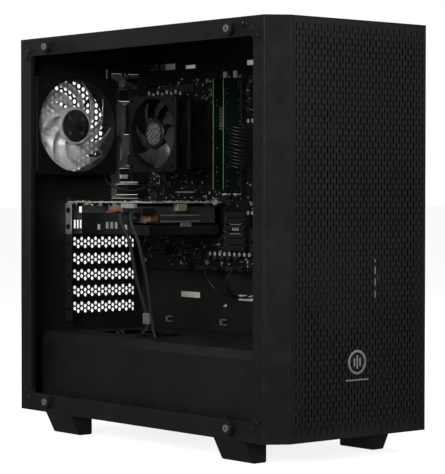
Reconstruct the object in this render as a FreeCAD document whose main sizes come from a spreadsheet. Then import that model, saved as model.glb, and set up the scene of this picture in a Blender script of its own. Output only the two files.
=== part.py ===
"""Desktop computer tower: a steel mid-tower case with its window side open, and the electronics inside it.

Millimetres. The origin is on the floor under the middle of the case, +Z is up, the front faces -Y and the
open window side faces -X. The sheet's first block holds the driving sizes, its second the places worked out
from them.
"""
import FreeCAD, Part
import math
import os
import re
from FreeCAD import Rotation, Vector

doc = FreeCAD.newDocument("desktop_tower")
sheet = doc.addObject("Spreadsheet::Sheet", "Sizes")

DRIVING = {
    # case
    "case_width": 226.0, "case_depth": 468.0, "chassis_height": 452.0, "foot_height": 25.0, "plate": 1.0,
    "clearance": 0.3, "border": 21.0, "front_post": 17.0, "lip_depth": 5.0, "opening_radius": 6.0,
    "bezel_depth": 16.0, "chamfer_width": 23.2, "bezel_wall": 2.0, "mesh_thick": 1.4,
    "post_reach": 7.5, "post_radius": 4.0, "post_bore": 1.6, "thumb_reach": 6.0,
    "post_spread_y": 340.0, "post_spread_z": 427.5, "foot_length": 52.0, "foot_top": 31.0, "foot_slope": 12.0,
    "shroud_gap": 4.7, "shroud_inset": 23.0, "shroud_bevel": 10.0,
    # motherboard and what stands on it
    "board_inset": 179.0, "board_size": 244.0, "board_thick": 1.6, "board_drop": 39.0, "board_gap": 1.0,
    "standoff_height": 6.5, "standoff_radius": 3.0, "slot_pitch": 20.32, "card_drop": 160.0,
    "cpu_from_rear": 124.5, "cpu_from_top": 76.5, "cpu_stack": 8.0, "cooler_base": 6.0, "fin_depth": 35.0,
    "fin_pitch": 2.6, "fin_thick": 0.5, "cooler_width": 85.0, "cooler_height": 80.0, "cpu_fan_size": 92.0,
    "memory_from_front": 51.0, "memory_pitch": 18.8, "memory_from_top": 77.5, "module_length": 133.35,
    "module_height": 31.25, "socket_length": 142.0, "socket_width": 6.4, "socket_height": 9.0,
    # graphics card
    "card_length": 186.0, "card_reach": 122.0, "card_thick": 38.0, "card_fan_radius": 35.0,
    "bracket_reach": 113.0,
    # fans and power supply
    "fan_size": 120.0, "fan_depth": 25.0, "fan_hole_inset": 7.5, "rear_fan_side_gap": 6.3,
    "rear_fan_top_gap": 44.0, "front_fan_top_gap": 92.0, "psu_width": 150.0, "psu_height": 86.0,
    "psu_length": 140.0, "psu_lift": 3.0, "psu_inset": 28.0, "psu_wall": 1.0,
    # drive
    "drive_length": 147.0, "drive_width": 101.6, "drive_height": 26.1,
}

DERIVED = {
    "left_face": "(post_reach - case_width) / 2",
    "right_face": "(post_reach + case_width) / 2",
    "rear_face": "(case_depth - thumb_reach) / 2",
    "front_face": "0 - (case_depth + thumb_reach) / 2",
    "chassis_front": "front_face + bezel_depth",
    "deck": "foot_height",
    "top_face": "foot_height + chassis_height",
    "inner_left": "left_face + plate",
    "inner_right": "right_face - plate - clearance",
    "inner_rear": "rear_face - plate",
    "inner_front": "chassis_front + plate",
    "inner_deck": "deck + plate",
    "inner_top": "top_face - plate",
    "opening_front": "chassis_front + front_post",
    "opening_rear": "rear_face - border",
    "opening_low": "deck + border",
    "opening_high": "top_face - border",
    "board_face": "left_face + board_inset",
    "board_back": "board_face + board_thick",
    "tray_face": "board_back + standoff_height",
    "tray_back": "tray_face + plate",
    "board_top": "top_face - board_drop",
    "board_bottom": "board_top - board_size",
    "board_rear": "inner_rear - board_gap",
    "board_front": "board_rear - board_size",
    "shroud_height": "plate + psu_lift + psu_height + shroud_gap",
    "shroud_top": "deck + shroud_height",
    "shroud_face": "left_face + shroud_inset",
    "cpu_y": "board_rear - cpu_from_rear",
    "cpu_z": "board_top - cpu_from_top",
    "cooler_back": "board_face - cpu_stack",
    "fin_root": "cooler_back - cooler_base",
    "fin_tip": "fin_root - fin_depth",
    "memory_y": "board_front + memory_from_front",
    "memory_z": "board_top - memory_from_top",
    "card_plane": "board_top - card_drop",
    "card_top": "board_face - card_reach",
    "card_rear": "inner_rear - plate",
    "card_front": "card_rear - card_length",
    "flange_face": "board_face - bracket_reach",
    "fan_hole_spread": "fan_size - 2 * fan_hole_inset",
    "rear_fan_x": "left_face + rear_fan_side_gap + fan_size / 2",
    "rear_fan_z": "top_face - rear_fan_top_gap - fan_size / 2",
    "front_fan_x": "(left_face + right_face) / 2",
    "front_fan_z": "top_face - front_fan_top_gap - fan_size / 2",
    "psu_left": "left_face + psu_inset",
    "psu_low": "inner_deck + psu_lift",
    "psu_front": "inner_rear - psu_length",
    "post_y": "(chassis_front + rear_face) / 2 - 2.3",
    "post_z": "(deck + top_face) / 2 + 0.6",
}


def fill_sheet():
    for row, (name, value) in enumerate(DRIVING.items(), start=1):
        sheet.set(f"A{row}", name)
        sheet.set(f"B{row}", str(value))
        sheet.setAlias(f"B{row}", name)
    for row, (name, formula) in enumerate(DERIVED.items(), start=len(DRIVING) + 2):
        sheet.set(f"A{row}", name)
        sheet.set(f"B{row}", "=" + formula)
        sheet.setAlias(f"B{row}", name)
    doc.recompute()


class SheetValues:
    """Reads a size or a place from the sheet by its alias."""

    def __getattr__(self, name):
        return float(sheet.get(name))


fill_sheet()
at = SheetValues()
nodes = {}
WORD = re.compile(r"[a-z][a-z_]*")
ALONG = {"x": Rotation(Vector(0, 1, 0), 90), "y": Rotation(Vector(1, 0, 0), -90), "z": Rotation()}
STEP = {"x": Vector(1, 0, 0), "y": Vector(0, 1, 0), "z": Vector(0, 0, 1)}

# Places that repeat, as small lists: sockets on the top edge, holes in the tray and shroud, and so on.
PORT_PLACES = [{"kind": "usb", "across": -12}, {"kind": "usb", "across": 8},
               {"kind": "jack", "across": 26}, {"kind": "jack", "across": 40}]
PORT_WIDTH = 44.45
PORT_HEIGHT = 158.75
# How far each tray hole's centre is forward of the board's rear edge and above its top edge, then its size
TRAY_HOLES = [(23.0, 12.0, 18, 8), (51.3, 11.4, 30, 7.5), (96.6, 9.4, 20, 4.5), (210.5, 9.0, 12, 6),
              (96.8, -275.0, 38, 7), (203.0, -275.0, 28, 7), (271.0, -93.0, 18, 70), (271.0, -196.0, 18, 26)]
# Cut-outs in the shroud's top, measured from its face and from the front of the power supply
SHROUD_HOLES = [(40, -38, 100, -6), (46, 14, 112, 82)]
# Which corner of the window frame, and how its plate leans
CORNERS = [(1, 1, 43), (-1, 1, -43), (1, -1, -32), (-1, -1, 45)]
STANDOFF_COLUMNS = (16.5, 141.0, 233.7)
STANDOFF_ROWS = (10.2, 165.1, 233.7)
FIRST_LOW_CAN = 150
ROCKER_TILT = 10.0
HEADERS = (96, 128, 160, 184, 208)
FAN_HEADERS = ((128, 139), (43, 139), (233, 40))
MESH_PITCH = (9.0, 26.0)
MESH_SLOT = (4.6, 18.0)
# Ports from the lowest up: low and high edges above the port opening's lower edge, height off the board
REAR_PORTS = [(5, 18, 33, 22), (21, 38, 28, 24), (42, 57, 16, 20), (61, 77, 9, 18), (82, 120, 22, 18),
              (124, 139, 30, 20)]

# Leads' routes. The outer points of each are where it leaves a plug, a housing or a circuit board.
CARD_LEADS = [
    [(-64, 75, 267.5), (-75, 75, 267.5), (-80, 67, 255), (-76, 57, 238), (-70, 57, 216), (-60, 64, 191),
     (-49, 66, 165), (-40, 66, 141), (-30, 62, 119), (-22, 61, 101), (-16, 70, 80), (-16, 90.5, 80)],
    [(-64, 55, 267.5), (-75, 55, 267.5), (-80, 48, 255), (-75, 41, 237), (-69, 40, 215), (-60, 43, 190),
     (-50, 50, 165), (-42, 57, 141), (-37, 57, 119), (-32, 54, 101), (-29, 66, 80), (-29, 90.5, 80)],
]
MAIN_LEADS = [
    [(40, -9.3, level), (27, -9.3, level), (15, -14, level + 2), (11, -27, level - 2), (22, -38, level - 5),
     (46, -42, level - 7), (85.5 + 7 * row, -42, level - 7), (85.5 + 7 * row, -41, 270),
     (85.5 + 7 * row, -44, 215), (85.5 + 7 * row, -40, 160), (85.5 + 7 * row, -28, 118),
     (80 + 7 * row, -4, 92), (64 + 8 * row, 26, 80), (36 + 9 * row, 62, 75), (22 + 10 * row, 90.5, 75)]
    for row, level in enumerate((327, 339, 353, 365))
]
CPU_LEADS = [
    [(42, 191 + 9 * row, 430), (31, 191 + 9 * row, 430), (22, 193 + 8 * row, 439),
     (33, 198 + 7 * row, 450), (60, 202 + 7 * row, 451), (90, 203 + 6 * row, 450),
     (97, 196 + 7 * row, 411), (96, 174 + 8 * row, 352), (97, 144 + 9 * row, 291),
     (96, 112 + 9 * row, 231), (97, 80 + 9 * row, 172), (95, 56 + 8 * row, 126),
     (78, 50 + 2 * row, 98), (58 + 6 * row, 66, 86), (42 + 10 * row, 90.5, 86)]
    for row in (0, 1)
]
THIN_LEADS = [
    [(10, 100, 315.5), (10, 100, 304), (18, 99, 296), (35, 98, 292), (43, 97, 296.5), (52, 97, 296.5)],
    [(8, 216, 313), (8, 216, 303), (20, 206, 295), (34, 190, 292), (42, 182, 296.5), (52, 182, 296.5)],
    [(52, 60, 198.5), (43, 60, 198.5), (37, 52, 188), (42, 38, 172), (60, 31, 164), (88, 30, 163),
     (108, 22, 186), (112, 0, 240), (112, -58, 325), (110, -130, 390), (100, -192, 420), (84, -208, 430),
     (62, -207, 434), (44, -200, 439), (42, -198, 448), (42, -198, 457)],
    [(52, 12, 198.5), (44, 12, 198.5), (39, 15, 186), (45, 20, 171), (62, 22, 164), (88, 22, 162),
     (106, 14, 178), (112, -8, 224), (112, -70, 306), (110, -140, 378), (102, -196, 404), (88, -212, 416),
     (58, -212, 428), (25, -202, 437), (22, -198, 448), (22, -198, 457)],
    [(66, -28, 244.5), (66, -38, 244.5), (73, -46, 238), (90, -52, 226), (97, -56, 190), (98, -60, 140),
     (102, -78, 90), (109, -102, 60), (111, -113, 46), (110, -120, 37), (104, -121, 33.5),
     (95.25, -121, 33.5)],
    [(57.2, 90.5, 71), (60, 78, 64), (76, 58, 56), (97, 22, 52), (106, -26, 48), (108, -66, 42),
     (108, -92, 36), (104, -103, 33.5), (95.25, -103, 33.5)],
    [(52, -8, 395.5), (43, -8, 395.5), (38, -20, 391), (48, -34, 383), (68, -42, 375), (92, -50, 371),
     (101, -88, 358), (101, -140, 336), (97, -192, 316), (88, -208, 303), (76, -209, 301),
     (63.75, -209, 301)],
]


# ---------------------------------------------------------------- objects bound to the sheet

def bind(item, lengths):
    """Bind an object's properties to expressions written in the sheet's own names."""
    for name, expression in lengths.items():
        item.setExpression(name, WORD.sub(lambda word: "Sizes." + word.group(0), str(expression)))


def box(corner, extent):
    item = doc.addObject("Part::Box", "block")
    bind(item, dict(zip(("Length", "Width", "Height"), extent)))
    bind(item, {"Placement.Base." + axis: place for axis, place in zip("xyz", corner)})
    return item


def rod(start, axis, radius, length):
    """A cylinder from start along +X, +Y or +Z."""
    item = doc.addObject("Part::Cylinder", "rod")
    item.Placement.Rotation = ALONG[axis]
    bind(item, {"Radius": radius, "Height": length})
    bind(item, {"Placement.Base." + letter: place for letter, place in zip("xyz", start)})
    return item


def together(kind, items, label):
    item = doc.addObject(kind, label)
    if kind == "Part::Compound":
        item.Links = items
    else:
        item.Shapes = items
    return item


def cut(base, tools):
    item = doc.addObject("Part::Cut", "cut")
    item.Base = base
    item.Tool = tools[0] if len(tools) == 1 else together("Part::Compound", tools, "tools")
    return item


def fuse(items):
    return together("Part::MultiFuse", items, "joined")


def rounded(item, axis, radius):
    """Round the edges of a box that run along one axis."""
    doc.recompute()
    picked = []
    for number, edge in enumerate(item.Shape.Edges, start=1):
        if abs(abs(edge.tangentAt(edge.FirstParameter).dot(STEP[axis])) - 1) < 1e-6:
            picked.append((number, radius, radius))
    fillet = doc.addObject("Part::Fillet", "rounded")
    fillet.Base = item
    fillet.Edges = picked
    return fillet


def node(label, item):
    """Name a finished object as one node of the assembly."""
    item.Label = label
    nodes[label] = item
    return item


def group(label, items):
    return node(label, together("Part::Compound", items, label))


def feature(label, shape):
    item = doc.addObject("Part::Feature", label)
    item.Shape = shape
    return item


def shaped(label, shape):
    """A node whose shape is made by Part's own functions from the sheet's sizes."""
    return node(label, feature(label, shape))


# ---------------------------------------------------------------- shapes made by Part's functions

def solid_box(low, high):
    extent = Vector(*high) - Vector(*low)
    return Part.makeBox(extent.x, extent.y, extent.z, Vector(*low))


def cylinder(start, axis, radius, length):
    return Part.makeCylinder(radius, length, Vector(*start), STEP[axis])


def lift(axis, depth, across, up):
    """A point in a plate's own plane (across, up) at a depth along its normal axis."""
    if axis == "x":
        return Vector(depth, across, up)
    if axis == "y":
        return Vector(across, depth, up)
    return Vector(across, up, depth)


def outline(points, axis, depth):
    corners = [lift(axis, depth, across, up) for across, up in points]
    return Part.makePolygon(corners + corners[:1])


def rectangle(across, up, width, height):
    left = across - width / 2
    low = up - height / 2
    return [(left, low), (left + width, low), (left + width, low + height), (left, low + height)]


def hexagon(across, up, size):
    """A six-sided hole, size across its corners, one corner to each side."""
    turns = [math.radians(60 * corner) for corner in range(6)]
    return [(across + size / 2 * math.cos(turn), up + size / 2 * math.sin(turn)) for turn in turns]


def stadium(across, up, width, height, axis, depth):
    """A wire with two straight sides and two round ends, upright when height is more than width."""
    radius = min(width, height) / 2
    reach = max(width, height) / 2 - radius
    upright = height > width

    def point(along, sideways):
        if upright:
            return lift(axis, depth, across + sideways, up + along)
        return lift(axis, depth, across + along, up + sideways)

    edges = [Part.LineSegment(point(-reach, -radius), point(reach, -radius)).toShape(),
             Part.Arc(point(reach, -radius), point(reach + radius, 0), point(reach, radius)).toShape(),
             Part.LineSegment(point(reach, radius), point(-reach, radius)).toShape(),
             Part.Arc(point(-reach, radius), point(-reach - radius, 0), point(-reach, -radius)).toShape()]
    return Part.Wire(edges)


def ring(across, up, radius, axis, depth):
    return Part.Wire([Part.Circle(lift(axis, depth, across, up), STEP[axis], radius).toShape()])


def perforated(outer, holes, axis, thick):
    """A plate from its outline and its holes, wires in one plane, thickened along the axis."""
    face = Part.Face([outer] + holes)
    face.validate()
    return face.extrude(STEP[axis] * thick)


def honeycomb(centre, width, height, pitch_across, pitch_up, inside):
    """Centres of holes in columns, every other column half a pitch up, where inside(across, up) is true."""
    places = []
    columns = int(width / 2 / pitch_across)
    rows = int(height / 2 / pitch_up) + 1
    for column in range(-columns, columns + 1):
        for row in range(-rows, rows + 1):
            across = column * pitch_across
            up = (row + 0.5 * (column % 2)) * pitch_up
            if abs(up) <= height / 2 and inside(across, up):
                places.append((centre[0] + across, centre[1] + up))
    return places


def cord(route, diameter):
    """A round lead along straight runs joined by tangent arcs as large as the two runs allow."""
    points = [Vector(*point) for point in route]
    edges = []
    start = points[0]
    tightest = 1e9
    for before, corner, after in zip(points, points[1:], points[2:]):
        into = (corner - before).normalize()
        out = (after - corner).normalize()
        half_turn = into.getAngle(out) / 2
        tangent = 0.45 * min((corner - before).Length, (after - corner).Length)
        radius = tangent / math.tan(half_turn)
        tightest = min(tightest, radius)
        first = corner - into * tangent
        last = corner + out * tangent
        inward = (out - into).normalize()
        middle = corner + inward * (radius / math.cos(half_turn) - radius)
        edges.append(Part.LineSegment(start, first).toShape())
        edges.append(Part.Arc(first, middle, last).toShape())
        start = last
    edges.append(Part.LineSegment(start, points[-1]).toShape())
    path = Part.Wire(edges)
    section = Part.Wire([Part.Circle(points[0], points[1] - points[0], diameter / 2).toShape()])
    tube = path.makePipeShell([section], True, False)
    expected = math.pi * diameter ** 2 / 4 * path.Length
    print(f"lead {diameter} mm, {path.Length:.0f} mm long, tightest radius {tightest:.1f},"
          f" volume ratio {tube.Volume / expected:.3f}")
    return tube


def fan_frame(centre, axis, size, depth, strut_side):
    """A square fan housing with a round bore, and a motor base on four struts at one face."""
    half = size / 2
    bore = half - 3.0
    body = Part.makeBox(size, size, depth, Vector(-half, -half, 0))
    body = body.makeFillet(size * 0.05, [edge for edge in body.Edges if abs(edge.tangentAt(0).z) > 0.99])
    body = body.cut(Part.makeCylinder(bore, depth, Vector(0, 0, 0)))
    waist = Part.makeCylinder(half * 1.36, depth - 8.0, Vector(0, 0, 4.0))
    waist = waist.cut(Part.makeCylinder(bore + 2.0, depth - 8.0, Vector(0, 0, 4.0)))
    body = body.cut(waist)
    spread = half * 0.875
    for across in (-spread, spread):
        for up in (-spread, spread):
            body = body.cut(Part.makeCylinder(2.2, depth, Vector(across, up, 0)))
    base_radius = size * 0.17
    base = Part.makeCylinder(base_radius, 3.0, Vector(0, 0, depth - 3.5))
    struts = [base]
    for quarter in range(4):
        strut = Part.makeBox(bore - base_radius + 2.5, 3.0, 2.5, Vector(base_radius - 1.0, -1.5, depth - 3.5))
        strut.rotate(Vector(), Vector(0, 0, 1), 45 + 90 * quarter)
        struts.append(strut)
    body = body.multiFuse(struts)
    body = body.cut(Part.makeCylinder(1.55, 3.0, Vector(0, 0, depth - 3.5)))
    if strut_side < 0:
        body.rotate(Vector(0, 0, depth / 2), Vector(1, 0, 0), 180)
    body.Placement = FreeCAD.Placement(Vector(*centre), ALONG[axis]).multiply(body.Placement)
    return body.removeSplitter()


def fan_rotor(centre, axis, radius, hub_radius, depth, count, chord, pitch_deg, sweep_deg, shaft):
    """A hub cap with curved blades, and a shaft that runs in the motor base. Blades start at local z = 0."""
    rotor = Part.makeCylinder(hub_radius, depth, Vector(0, 0, 0))
    hollow = Part.makeCylinder(hub_radius - 1.5, depth - 1.5, Vector(0, 0, 1.5))
    post = Part.makeCylinder(2.5, depth - 2.0, Vector(0, 0, 1.0))
    rotor = rotor.cut(hollow).fuse(post)
    blades = []
    radii = [hub_radius - 0.8, (hub_radius + radius) / 2, radius]
    for number in range(count):
        sections = []
        for place, reach in enumerate(radii):
            width = chord * (1 + 0.45 * place)
            turn = math.radians(360 / count * number + sweep_deg * place / 2)
            tilt = math.radians(pitch_deg - 7 * place)
            out = Vector(math.cos(turn), math.sin(turn), 0)
            tangent = Vector(-math.sin(turn), math.cos(turn), 0)
            lean = tangent * math.cos(tilt) + Vector(0, 0, math.sin(tilt))
            normal = Vector(0, 0, math.cos(tilt)) - tangent * math.sin(tilt)
            middle = out * reach + Vector(0, 0, depth / 2)
            corners = [middle - lean * (width / 2) - normal * 0.5, middle + lean * (width / 2) - normal * 0.5,
                       middle + lean * (width / 2) + normal * 0.5, middle - lean * (width / 2) + normal * 0.5]
            sections.append(Part.makePolygon(corners + corners[:1]))
        blades.append(Part.makeLoft(sections, True, False))
    reach = Part.makeCylinder(radius, depth).cut(Part.makeCylinder(hub_radius - 1.0, depth))
    rotor = rotor.multiFuse([blade.common(reach) for blade in blades])
    if shaft:
        rotor = rotor.fuse(Part.makeCylinder(1.5, shaft, Vector(0, 0, depth - 2.0)))
    rotor.Placement = FreeCAD.Placement(Vector(*centre), ALONG[axis])
    return rotor


# ---------------------------------------------------------------- chassis

def make_bottom_pan():
    """Floor plate with a rail for the right side panel, and slots under the power supply."""
    floor = box(("inner_left", "inner_front", "deck"),
                ("inner_right - inner_left", "inner_rear - inner_front", "plate"))
    rail = box(("inner_right - plate", "inner_front", "inner_deck"),
               ("plate", "inner_rear - inner_front", "12"))
    ridges = [box((place, "psu_front + 8", "inner_deck"), ("6", "psu_length - 20", "psu_lift"))
              for place in ("psu_left + 4", "psu_left + psu_width - 10")]
    guides = []
    for web, foot in (("psu_left + 6.2", "psu_left + 6.2"),
                      ("psu_left + psu_width - 7.7", "psu_left + psu_width - 10.2")):
        guides.append(box((web, "inner_rear - 140", "deck - 5"), ("1.5", "138", "5")))
        guides.append(box((foot, "inner_rear - 140", "deck - 5"), ("4", "138", "1.3")))
    slots = []
    for row in range(12):
        slots.append(box(("psu_left + 20", f"inner_rear - 130 + {row} * 10", "deck"),
                         ("psu_width - 40", "5", "plate")))
    node("bottom_pan", cut(fuse([floor, rail] + ridges + guides), slots))


def make_top_panel():
    """Top plate: a field of slots over the board, and holes for the ports and buttons near the front."""
    outer = outline([(at.inner_left, at.inner_front), (at.inner_right, at.inner_front),
                     (at.inner_right, at.inner_rear), (at.inner_left, at.inner_rear)], "z", at.inner_top)
    middle = at.front_fan_x
    holes = [ring(middle - 62, at.inner_front + 22, 7.4, "z", at.inner_top),
             ring(middle - 40, at.inner_front + 22, 4.0, "z", at.inner_top)]
    for place in PORT_PLACES:
        width = 13.6 if place["kind"] == "usb" else 7.6
        depth = 6.2 if place["kind"] == "usb" else 7.6
        holes.append(outline(rectangle(middle + place["across"], at.inner_front + 22, width, depth),
                             "z", at.inner_top))
    for column in range(-8, 9):
        for row in range(0, 14):
            holes.append(stadium(middle + column * 10, at.inner_front + 82 + row * 26, 4, 20, "z",
                                 at.inner_top))
    plate = perforated(outer, holes, "z", at.plate)
    rail = solid_box((at.inner_right - at.plate, at.inner_front, at.inner_top - 12),
                     (at.inner_right, at.inner_rear, at.inner_top))
    shaped("top_panel", plate.fuse(rail))


def slot_centre(number):
    """Height of the middle of an expansion slot, counted down from the graphics card's first."""
    return at.card_plane - 9.7 - number * at.slot_pitch


def make_rear_panel():
    """Rear plate: port opening, fan vent, seven expansion slots and their ledge, power supply opening."""
    depth = at.inner_rear
    outer = outline([(at.inner_left, at.deck), (at.inner_right, at.deck),
                     (at.inner_right, at.top_face), (at.inner_left, at.top_face)], "y", depth)
    holes = [outline(rectangle(at.board_face - 19.7, at.card_plane + 5 + PORT_HEIGHT / 2, PORT_WIDTH,
                               PORT_HEIGHT),
                     "y", depth)]
    vent = honeycomb((at.rear_fan_x, at.rear_fan_z), at.fan_size - 5, at.fan_size - 5, 6.75, 7.8,
                     lambda across, up: math.hypot(across, up) < at.fan_size / 2 + 2)
    screw = at.fan_hole_spread / 2
    for across, up in vent:
        near_screw = abs(abs(across - at.rear_fan_x) - screw) < 8 and abs(abs(up - at.rear_fan_z) - screw) < 8
        if not near_screw:
            holes.append(outline(hexagon(across, up, 6.2), "y", depth))
    for side in (-screw, screw):
        for height in (-screw, screw):
            holes.append(ring(at.rear_fan_x + side, at.rear_fan_z + height, 2.3, "y", depth))
    for number in range(7):
        holes.append(outline(rectangle(at.board_face - 57.5, slot_centre(number), 103, 16.4), "y", depth))
    holes.append(outline(rectangle(at.psu_left + at.psu_width / 2, at.psu_low + at.psu_height / 2,
                                   at.psu_width - 10, at.psu_height - 10), "y", depth))
    plate = perforated(outer, holes, "y", at.plate)
    low = slot_centre(6) - 10
    high = slot_centre(0) + 10
    front = at.inner_rear - 12
    left = at.flange_face + at.plate
    ledge = solid_box((left, front, low - 6), (left + at.plate, at.inner_rear - at.plate, high + 6))
    ends = [solid_box((left, front, low - 6), (left + at.plate, at.inner_rear, low)),
            solid_box((left, front, high), (left + at.plate, at.inner_rear, high + 6))]
    shaped("rear_panel", plate.multiFuse([ledge] + ends))


def make_window_frame():
    """Border of the open side, with a lip folded inwards round its rounded opening."""
    opening = ("opening_rear - opening_front", "opening_high - opening_low")
    plate = box(("left_face", "chassis_front", "deck"),
                ("plate", "rear_face - chassis_front", "chassis_height"))
    rim = rounded(box(("inner_left", "opening_front - plate", "opening_low - plate"),
                      ("lip_depth", opening[0] + " + 2 * plate", opening[1] + " + 2 * plate")),
                  "x", at.opening_radius + at.plate)
    hole = rounded(box(("left_face", "opening_front", "opening_low"),
                       ("plate + lip_depth", opening[0], opening[1])), "x", at.opening_radius)
    node("window_frame", cut(fuse([plate, rim]), [hole]))


def make_front_wall():
    """Chassis front plate with the front fan's opening and the holes that take the bezel's clips."""
    plate = box(("inner_left", "chassis_front", "inner_deck"),
                ("inner_right - inner_left", "plate", "inner_top - inner_deck"))
    holes = [rod(("front_fan_x", "chassis_front", "front_fan_z"), "y", "fan_size / 2 - 4", "plate"),
             rod(("front_fan_x", "chassis_front", "front_fan_z - fan_size - 10"), "y", "fan_size / 2 - 4",
                 "plate")]
    for across in ("inner_left + 14", "inner_right - 4.5"):
        for height in ("inner_deck + 30", "inner_top - 30"):
            holes.append(rod((across, "chassis_front", height), "y", "3.4", "plate"))
    for side in (-1, 1):
        for height in (-1, 1):
            holes.append(rod((f"front_fan_x + {side} * fan_hole_spread / 2", "chassis_front",
                              f"front_fan_z + {height} * fan_hole_spread / 2"), "y", "2.3", "plate"))
    node("front_wall", cut(plate, holes))


def padded_sheet(label, role, outlines, thickness, offset_axis, offset):
    """A PartDesign body: one sketch of closed outlines on an origin plane, padded to the thickness."""
    body = doc.addObject("PartDesign::Body", label)
    plane = [item for item in body.Origin.OriginFeatures if item.Role == role][0]
    sketch = body.newObject("Sketcher::SketchObject", label + "_outline")
    sketch.AttachmentSupport = [(plane, "")]
    sketch.MapMode = "FlatFace"
    for points in outlines:
        corners = [Vector(across, up, 0) for across, up in points]
        lines = [Part.LineSegment(first, second) for first, second in zip(corners, corners[1:] + corners[:1])]
        sketch.addGeometry(lines, False)
    pad = body.newObject("PartDesign::Pad", label + "_pad")
    pad.Profile = sketch
    bind(pad, {"Length": thickness})
    bind(body, {"Placement.Base." + offset_axis: offset})
    return node(label, body)


def make_motherboard_tray():
    """Upright plate behind the motherboard with holes for leads, and small hooks to tie leads to."""
    holes = [rectangle(at.board_rear - across, at.board_top + up, width, height)
             for across, up, width, height in TRAY_HOLES]
    border = [(at.inner_front + 26, at.shroud_top), (at.inner_rear, at.shroud_top),
              (at.inner_rear, at.inner_top), (at.inner_front + 26, at.inner_top)]
    padded_sheet("motherboard_tray", "YZ_Plane", [border] + holes, "plate", "x", "tray_face")


def make_psu_shroud():
    """Cover over the power supply and drive bay: an upright face, a bevel, and a top with cable cut-outs."""
    face = at.shroud_face
    top = at.shroud_top
    low = at.inner_deck
    bevel = at.shroud_bevel
    thick = at.plate
    section = [(face, low), (face, top - bevel), (face + 4, top), (at.tray_back, top),
               (at.tray_back, top - thick),
               (face + 4.7, top - thick), (face + thick, top - bevel - 0.2), (face + thick, low)]
    cover = Part.Face(outline(section, "y", at.inner_front + 26)).extrude(
        Vector(0, at.inner_rear - at.inner_front - 26, 0))
    for low_x, low_y, high_x, high_y in SHROUD_HOLES:
        cover = cover.cut(solid_box((face + low_x, at.psu_front + low_y, top - 2),
                                    (face + high_x, at.psu_front + high_y, top + 1)))
    shaped("psu_shroud", cover)


def make_corner_plates():
    """Four small round-ended plates riveted across the corners of the window frame."""
    plates = []
    for corner_y, corner_z, lean in CORNERS:
        wire = stadium(0, 0, 8.5, 21, "x", 0)
        plate = Part.Face(wire).extrude(Vector(-0.8, 0, 0))
        plate.rotate(Vector(), Vector(1, 0, 0), lean)
        centre_y = (at.rear_face if corner_y > 0 else at.chassis_front) - corner_y * 14.5
        centre_z = (at.top_face if corner_z > 0 else at.deck) - corner_z * 18.2
        plate.translate(Vector(at.left_face, centre_y, centre_z))
        plates.append(plate)
    shaped("corner_plates", Part.makeCompound(plates))


def dome(place, radius, height):
    """A low rivet head standing out towards -X."""
    sphere_radius = (radius ** 2 + height ** 2) / (2 * height)
    ball = Part.makeSphere(sphere_radius, Vector(place[0] + sphere_radius - height, place[1], place[2]))
    return ball.common(solid_box((place[0] - height, place[1] - radius, place[2] - radius),
                                 (place[0], place[1] + radius, place[2] + radius)))


def rivet_heads():
    """Rivet heads along the top strip and on the corner plates."""
    heads = [dome((at.left_face, at.post_y + 78.3, at.top_face - 9.7), 2.2, 0.9),
             dome((at.left_face, at.post_y - 73.1, at.top_face - 9.3), 2.2, 0.9),
             dome((at.left_face, at.chassis_front + 31.1, at.top_face - 8.2), 4.5, 1.4)]
    for corner_y, corner_z, lean in CORNERS:
        centre_y = (at.rear_face if corner_y > 0 else at.chassis_front) - corner_y * 14.5
        centre_z = (at.top_face if corner_z > 0 else at.deck) - corner_z * 18.2
        for end in (-4.9, 4.9):
            turn = math.radians(lean)
            heads.append(dome((at.left_face - 0.8, centre_y - end * math.sin(turn),
                               centre_z + end * math.cos(turn)),
                              2.2, 0.9))
    return heads


def make_glass_posts():
    """Threaded posts and rubber rings that a glass side panel is screwed to."""
    posts = []
    grommets = []
    for side in (-1, 1):
        for height in (-1, 1):
            across = f"post_y + {side} * post_spread_y / 2"
            up = f"post_z + {height} * post_spread_z / 2"
            start = "left_face - post_reach"
            post = rod((start, across, up), "x", "post_radius", "post_reach")
            posts.append(cut(post, [rod((start, across, up), "x", "post_bore", "post_reach - 1")]))
            sleeve = rod(("left_face - post_reach + 2", across, up), "x", "post_radius + 3.5",
                         "post_reach - 2")
            bore = rod(("left_face - post_reach + 2", across, up), "x", "post_radius", "post_reach - 2")
            grommets.append(cut(sleeve, [bore]))
    group("glass_posts", posts)
    group("glass_grommets", grommets)


def make_feet():
    """Four tapering feet: the outer face slopes in, the rear half stands a little proud of the front half."""
    feet = []
    for side in (-1, 1):
        outer = at.left_face + 3 if side < 0 else at.right_face - 3
        for low_y in (at.chassis_front + 34.0, at.rear_face - 48.0 - at.foot_length):
            section = [(outer, at.deck), (outer - side * at.foot_slope, 1.5),
                       (outer - side * (at.foot_slope + 1.5), 0), (outer - side * (at.foot_top - 1.5), 0),
                       (outer - side * at.foot_top, 1.5), (outer - side * at.foot_top, at.deck)]
            foot = Part.Face(outline(section, "y", low_y)).extrude(Vector(0, at.foot_length, 0))
            step = solid_box((outer - 1.2, low_y - 1, 0),
                             (outer + 1.2, low_y + at.foot_length * 0.45, at.deck))
            slope = math.degrees(math.atan2(at.foot_slope, at.deck))
            step.rotate(Vector(outer, 0, at.deck), Vector(0, 1, 0), side * -slope)
            step.translate(Vector(0, 0, -2.0))
            feet.append(foot.cut(step))
    shaped("feet", Part.makeCompound(feet))


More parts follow.
